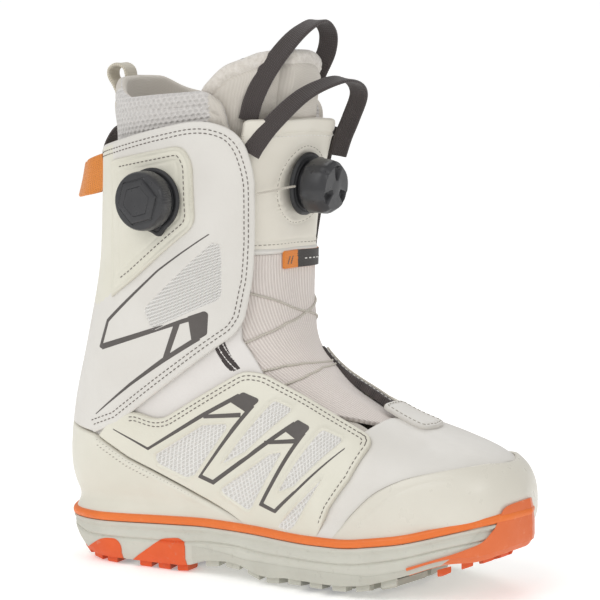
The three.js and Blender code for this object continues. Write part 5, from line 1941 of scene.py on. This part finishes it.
LACES = {                         # seen from the front, as [y, z] along each run of cable
    "lace_cross_high": [[-41, 169], [-33.5, 168], [-18, 163.5], [-5.4, 158.5], [8, 154.6], [18, 150.5],
                        [30, 144.5]],
    "lace_cross_low": [[-42, 136], [-36.5, 138], [-28.6, 143.8], [-14.4, 150], [0, 152.5], [14, 156],
                       [30, 163]],
    "lace_instep_rear": [[-39, 121.5], [-27, 127], [-17, 128.6], [-5, 128.4], [10, 127.6], [26, 127]],
    "lace_instep_front": [[-40, 112], [-34.5, 115.4], [-27.5, 119.4], [-19, 123], [-7, 126], [8, 126],
                          [25, 124.6]],
}
DIAL_LACES = {
    "lace_upper_lateral": [[4, -14, 230.4], [3.2, -22, 230], [-1, -32, 228.5], [-6.5, -39.5, 227]],
    "lace_upper_medial": [[2.4, 19, 231.2], [1.6, 25, 232], [-2, 31, 233]],
}


def make_laces():
    for name, route in LACES.items():
        line, _ = on_tongue(front_line(route, 1.0), -2.45)
        cable = tube(f"{name}_cable", line, LACE_DIAMETER / 2, M["lace"], 10)
        on_knit(cable, "lace", (name,))
    for name, route in DIAL_LACES.items():
        line = resample(spline(route, np.linspace(0, 1, 120)), 1.0)
        place(tube(f"{name}_cable", line, LACE_DIAMETER / 2, M["lace"], 10), "tongue", (name,))


EYESTAY_LINE = [[8, 20], [24, 18.5], [42, 17], [60, 14.5], [76, 12]]      # from above, to the toe


def make_eyestay():
    """The dark tape on the medial side of the throat, with the cable lying along it."""
    half = np.array([0, 6.5])
    line = np.array(EYESTAY_LINE)
    outline = top_outline(np.vstack([line + half, line[::-1] - half * 1.15]).tolist())
    band = Skin(outline, (-5.8, -0.9), roll=1.2, pitch=2.2)
    place(band.build("eyestay_medial_webbing", M["webbing"]), "root", ("eyestay_medial",))
    sewn = stitches("eyestay_stitches", rows_inside(band, 1.6, None), "thread_pale", width=0.5)
    place(sewn, "root")
    path = np.array([top_view(x, y) for x, y in resample(line[:-1] - [0, 3.5], 1.5)])
    cable = tube("lace_eyestay_cable", skin(*path.T, np.full(len(path), -0.3)), LACE_DIAMETER / 2,
                 M["lace"], 10)
    place(cable, "root", ("lace_eyestay",))


GUIDES = {
    "lace_guide_lateral": [[-44, 144, 0.5], [-40, 144, 0.5], [-38, 124, 0.5], [-40.5, 121, 0.5]],
    "lace_guide_medial": [[29, 124, 1], [28, 131, 1.5], [34, 132, 1.5], [36, 125, 1]],
    "lace_guide_medial_high": [[29, 141, 1], [28.5, 148, 1.5], [35, 149, 1.5], [36, 142, 1]],
}


def make_guides():
    """Folded textile tabs that the cable runs through."""
    for name, points in GUIDES.items():
        tab = Skin(front_outline(points, 0.8), (-2.8, -0.2), roll=0.7, pitch=1.6)
        place(tab.build(f"{name}_tape", M["webbing"]), "root", (name,))


# ------------------------------------------------------------------ dials
def dial_frame(which):
    if which == "lateral":
        return LATERAL_DIAL, np.array([1.0, 0, 0]), np.array([0, 0, 1.0]), np.array([0, -1.0, 0])
    c, s = math.cos(FRONT_DIAL_DIP), math.sin(FRONT_DIAL_DIP)
    return FRONT_DIAL, np.array([0, 1.0, 0]), np.array([s, 0, c]), np.array([c, 0, -s])


def lathe(name, profile, which, material, shape=None, lift=None, segments=144):
    """A turned body on a dial's axis. shape and lift change its radius and height with the angle."""
    origin, u, v, w = dial_frame(which)
    angle = np.linspace(0, 2 * math.pi, segments, endpoint=False)
    verts, index = [], []
    for r, z in profile:
        if r == 0:
            index.append([len(verts)] * segments)
            verts.append(origin + w * (z + (lift(0.0, 0.0, z) if lift else 0)))
            continue
        index.append(list(range(len(verts), len(verts) + segments)))
        for a in angle:
            radius = shape(a, r, z) if shape else r
            height = z + (lift(a, radius, z) if lift else 0)
            verts.append(origin + (u * math.cos(a) + v * math.sin(a)) * radius + w * height)
    faces = []
    for i in range(len(profile) - 1):
        for k in range(segments):
            l = (k + 1) % segments
            face = list(dict.fromkeys([index[i][k], index[i][l], index[i + 1][l], index[i + 1][k]]))
            if len(face) > 2:
                faces.append(face)
    if profile[0][0]:
        faces.append(index[0][::-1])
    if profile[-1][0]:
        faces.append(index[-1])
    return add_mesh(name, np.array(verts), faces, material, smooth_angle=32)


def angle_gap(a, centre):
    return (a - centre + math.pi) % (2 * math.pi) - math.pi


def polygon_share(a, sides, turn=0.0, sharp=1.0):
    """How far a regular polygon's edge is from its centre, as a share of its corner's distance."""
    step = 2 * math.pi / sides
    local = (a - turn) % step - step / 2
    return 1 + sharp * (math.cos(step / 2) / math.cos(local) - 1)


def lateral_base_shape(a, r, z):
    return r * (1 + 0.16 * math.exp(-((angle_gap(a, -1.35) / 0.2) ** 2)) * (r > 12))


def lateral_knob_shape(a, r, z):
    if z > 15.9 and r < 16.2:
        return r * polygon_share(a, 6, 0.25, 0.95)
    if 6.3 < z < 14.6 and r > 16:
        zone = max(math.exp(-((angle_gap(a, c) / 0.5) ** 4)) for c in (0.3, 2.4, 4.5))
        return r + 0.3 * zone * (abs(math.sin(a * 30)) - 0.5)
    return r


def front_knob_shape(a, r, z):
    if r > 13.2 and z > 5.7:
        facet = polygon_share(a, 6, 0.3, 0.55)
        notch = max(math.exp(-((angle_gap(a, c) / 0.11) ** 2)) for c in np.arange(6) * math.pi / 3 + 0.3)
        return r * facet * 1.03 - 0.9 * notch * (z > 8)
    return r


def front_knob_lift(a, r, z):
    if z < 18 or r > 13.4:
        return 0.0
    lobe = max(math.cos(angle_gap(a, c)) for c in (0.5, 2.6, 4.7))
    ring = smoothstep(r, 4.2, 6.0) * smoothstep(-r, -13.3, -11.8)
    return -3.0 * float(ring) * float(smoothstep(-lobe, -0.78, -0.62))


# Dial profiles, as (radius, height along the dial's axis).
DIAL_BASE = [(0, 0.05), (18.2, 0.05), (18.7, 0.5), (18.6, 1.5), (17.6, 2.5), (16.6, 2.62), (16.2, 2.3),
             (15.6, 2.3), (15.2, 2.62), (13.6, 2.68), (0, 2.7)]
DIAL_HOUSING = [(0, 2.75), (13.4, 2.75), (13.4, 8.3), (12.9, 8.55), (10.2, 8.55), (10.0, 8.2),
                (10.0, 3.7), (0, 3.7)]
KNOB_RIM = [(0, 11.0), (13.55, 11.0), (13.6, 5.7), (16.4, 5.6), (17.0, 5.9), (17.2, 6.5), (17.3, 7.4),
            (17.35, 9), (17.3, 11), (17.15, 13), (16.9, 14.4), (16.5, 15.2), (16.2, 15.7)]


def make_dials():
    bases = {"lateral": ("cuff_lateral_flap", lateral_base_shape), "front": ("tongue", None)}
    for which, (body, shape) in bases.items():
        base = lathe(f"{which}_dial_base_shell", DIAL_BASE, which, M["dial_side"], shape)
        place(base, body, (f"{which}_dial_base",))
        housing = lathe(f"{which}_dial_housing_shell", DIAL_HOUSING, which, M["dial"])
        place(housing, body, (f"{which}_dial_housing",))
    top = [(15.6, 15.95), (14.6, 15.95), (14.2, 15.6), (13.8, 15.95), (13.4, 17.3), (12.9, 17.8),
           (12.2, 17.95), (9.6, 17.9), (9.2, 17.6), (8.8, 17.9), (0, 18.0)]
    knob = lathe("lateral_dial_knob_shell", KNOB_RIM + top, "lateral", M["dial_face"],
                 lateral_knob_shape, segments=216)
    place(knob, "lateral_dial_knob", ("lateral_dial_knob",))
    top = [(15.4, 16.4), (14.6, 17.2), (14.0, 17.6), (13.4, 17.7), (12.6, 17.7), (11.6, 17.7),
           (10.4, 17.7), (9, 17.7), (7.6, 17.7), (6.6, 17.7), (5.6, 17.7), (4.6, 17.75), (3, 17.9),
           (0, 17.95)]
    slim = [(r * 0.95, 5.6 + (z - 5.6) * 1.3) for r, z in KNOB_RIM[3:] + top]
    knob = lathe("front_dial_knob_shell", KNOB_RIM[:3] + slim, "front", M["dial_face"],
                 front_knob_shape, front_knob_lift, segments=216)
    place(knob, "front_dial_knob", ("front_dial_knob",))


FRAME_FINISH = {
    "steel": ("shank", "lateral_dial_axle", "front_dial_axle", "lateral_dial_spool", "front_dial_spool"),
    "dial": ("lateral_dial_carrier", "front_dial_carrier"),
    "board": ("insole_board",),
}


def finish_frame():
    """Procedural materials on the CAD nodes that stay as they are."""
    for material, names in FRAME_FINISH.items():
        for name in names:
            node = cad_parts[name]
            node.data.materials.clear()
            node.data.materials.append(M[material])


# ------------------------------------------------------------------ liner
LINER_TOP = [[-19, 240], [-17.5, 262], [-22, 279, 5], [-34, 286.5, 6], [-70, 283.5], [-97, 281],
             [-112, 284.5, 6], [-122, 291.5], [-131, 293]]
LINER_TOP_MEDIAL = [[-2, 240], [-1, 262], [-5, 277, 5], [-20, 284, 8], *LINER_TOP[4:]]


def make_liner():
    """The liner's leg with its padded collar, and its closed foot."""
    leg_line = [[-150, 60], [-60, 60], [-30, 130], [-22, 170], *LINER_TOP]
    outline = both_sides(leg_line, "back", other=leg_line[:3] + LINER_TOP_MEDIAL)
    seam = [[-25, 272], [-36, 277.5], [-70, 274.5], [-97, 272.5], [-112, 276], [-126, 284]]
    rim = np.vstack([side_line(seam, "L"), side_line(seam[::-1], "M")])
    lower_seam = [[-24, 262], [-70, 258], [-100, 256]]
    features = [
        {"line": rim, "closed": False, "profile": groove(0.9, 1.3), "rings": (0.01, 0.9, 2.0)},
        *[open_feature(lower_seam, side, groove(0.8, 1.2), (0.01, 0.9, 1.8)) for side in "LM"],
    ]

    def swell(panel):
        z = panel.base[:, 2]
        x = panel.base[:, 0]
        return 1.3 * bump_at(z, 270 + 6 * smoothstep(-x, 95, 125), 9)
    leg = Skin(outline, (-12.6, LINER_OUTSIDE), "back", features=features, roll=3.0, pitch=3.2)
    leg.soft_inside = True

    def smooth_parts(panel, faces):
        middle = panel.base[faces].mean(1)
        x, z = middle[:, 0], middle[:, 2]
        heel = x < -113
        front = x > -27 - 0.12 * (z - 250)
        return (heel | front).astype(float)
    obj = leg.build("liner_leg_pad", M["liner"], swell, materials=(M["liner_cream"],),
                    region=smooth_parts, lining=1)
    place(obj, "root", ("liner_body",))

    foot_line = [[-60, 64], [-35, 118], [-10, 128], [30, 112], [60, 100], [75, 93]]
    lateral = side_line(foot_line, "L", 4)
    medial = side_line(foot_line, "M", 4)[::-1]
    sole_back = [[-140, 60], [-60, 64]]
    back_l = side_line(sole_back, "L", 4)
    back_m = side_line(sole_back, "M", 4)[::-1]
    foot_outline = np.vstack([back_l, lateral, medial, back_m])
    foot = Skin(foot_outline, (-12.6, LINER_OUTSIDE - 0.2), "toe", roll=2.0, pitch=9)
    pad = foot.build("liner_foot_pad", M["liner_cream"])
    place(pad, "root")


# As (station, share of half the girth): up the medial edge, over the top and round to the
# lateral side, where the tongue tucks inside the collar.
LINER_TONGUE = [[4.8, 0.07, 4], [6, 0.12], [9, 0.13], [12, 0.15], [14, 0.165], [15.0, 0.11, 5],
                [15.28, 0.03, 9], [15.3, -0.08], [15.28, -0.2], [15.14, -0.34, 6], [14.75, -0.43, 6],
                [13.6, -0.4], [12.6, -0.28], [10.3, -0.19], [7.6, -0.15], [6, -0.14], [4.8, -0.09, 4]]


def make_liner_tongue():
    scale = [ALONG_MM, AROUND_MM]
    flat = [[t * scale[0], q * scale[1], *rest] for t, q, *rest in LINER_TONGUE]
    line = resample(np.array(rounded(flat)), 1.8, closed=True)
    outline = np.stack(CHARTS["front"][1](line), -1)
    sign = orientation(front_chart(*outline.T))
    features = [inset_feature(outline, "front", sign, 8.5, groove(1.3, 1.2), (0.01, 0.9, 2.0))]
    pad = Skin(outline, (-13.5, -6.8), features=features, roll=3.2, pitch=3.2)
    pad.soft_inside = True

    def sink(base):
        away = np.abs(base[:, 1] + 3)
        tuck = 6.8 * smoothstep(away, 15, 22) * smoothstep(base[:, 2], 160, 200)
        return -tuck - 4.5 * smoothstep(-base[:, 2], -150, -125)
    pad.sink = sink

    def crown(panel):
        return 2.0 * bump_at(panel.base[:, 2], 300, 14) + 1.6 * bump_at(panel.base[:, 1], -3, 13)

    def fleece_rim(panel, faces):
        middle = panel.base[faces].mean(1)
        rim = panel.edge[faces].mean(1) < 8.5
        return (rim & (middle[:, 2] > 262) & (middle[:, 1] < 16)).astype(float)
    obj = pad.build("liner_tongue_pad", M["liner_cream"], crown, materials=(M["fleece"],),
                    region=fleece_rim)
    place(obj, "root", ("liner_tongue",))


make_camera()
make_stage()
for boot_side in "LM":
    make_cuff(boot_side)
    make_quarter(boot_side)
    make_ankle(boot_side)
make_heel_counter()
make_backstay()
make_dial_patch()
make_toe_rand()
make_vamp()
make_sole()
make_bumper()
make_foxing()
make_insides_low()
make_tongue()
make_side_tape()
make_tag()
make_throat()
make_loops()
make_laces()
make_eyestay()
make_guides()
make_dials()
make_liner()
make_liner_tongue()
finish_frame()
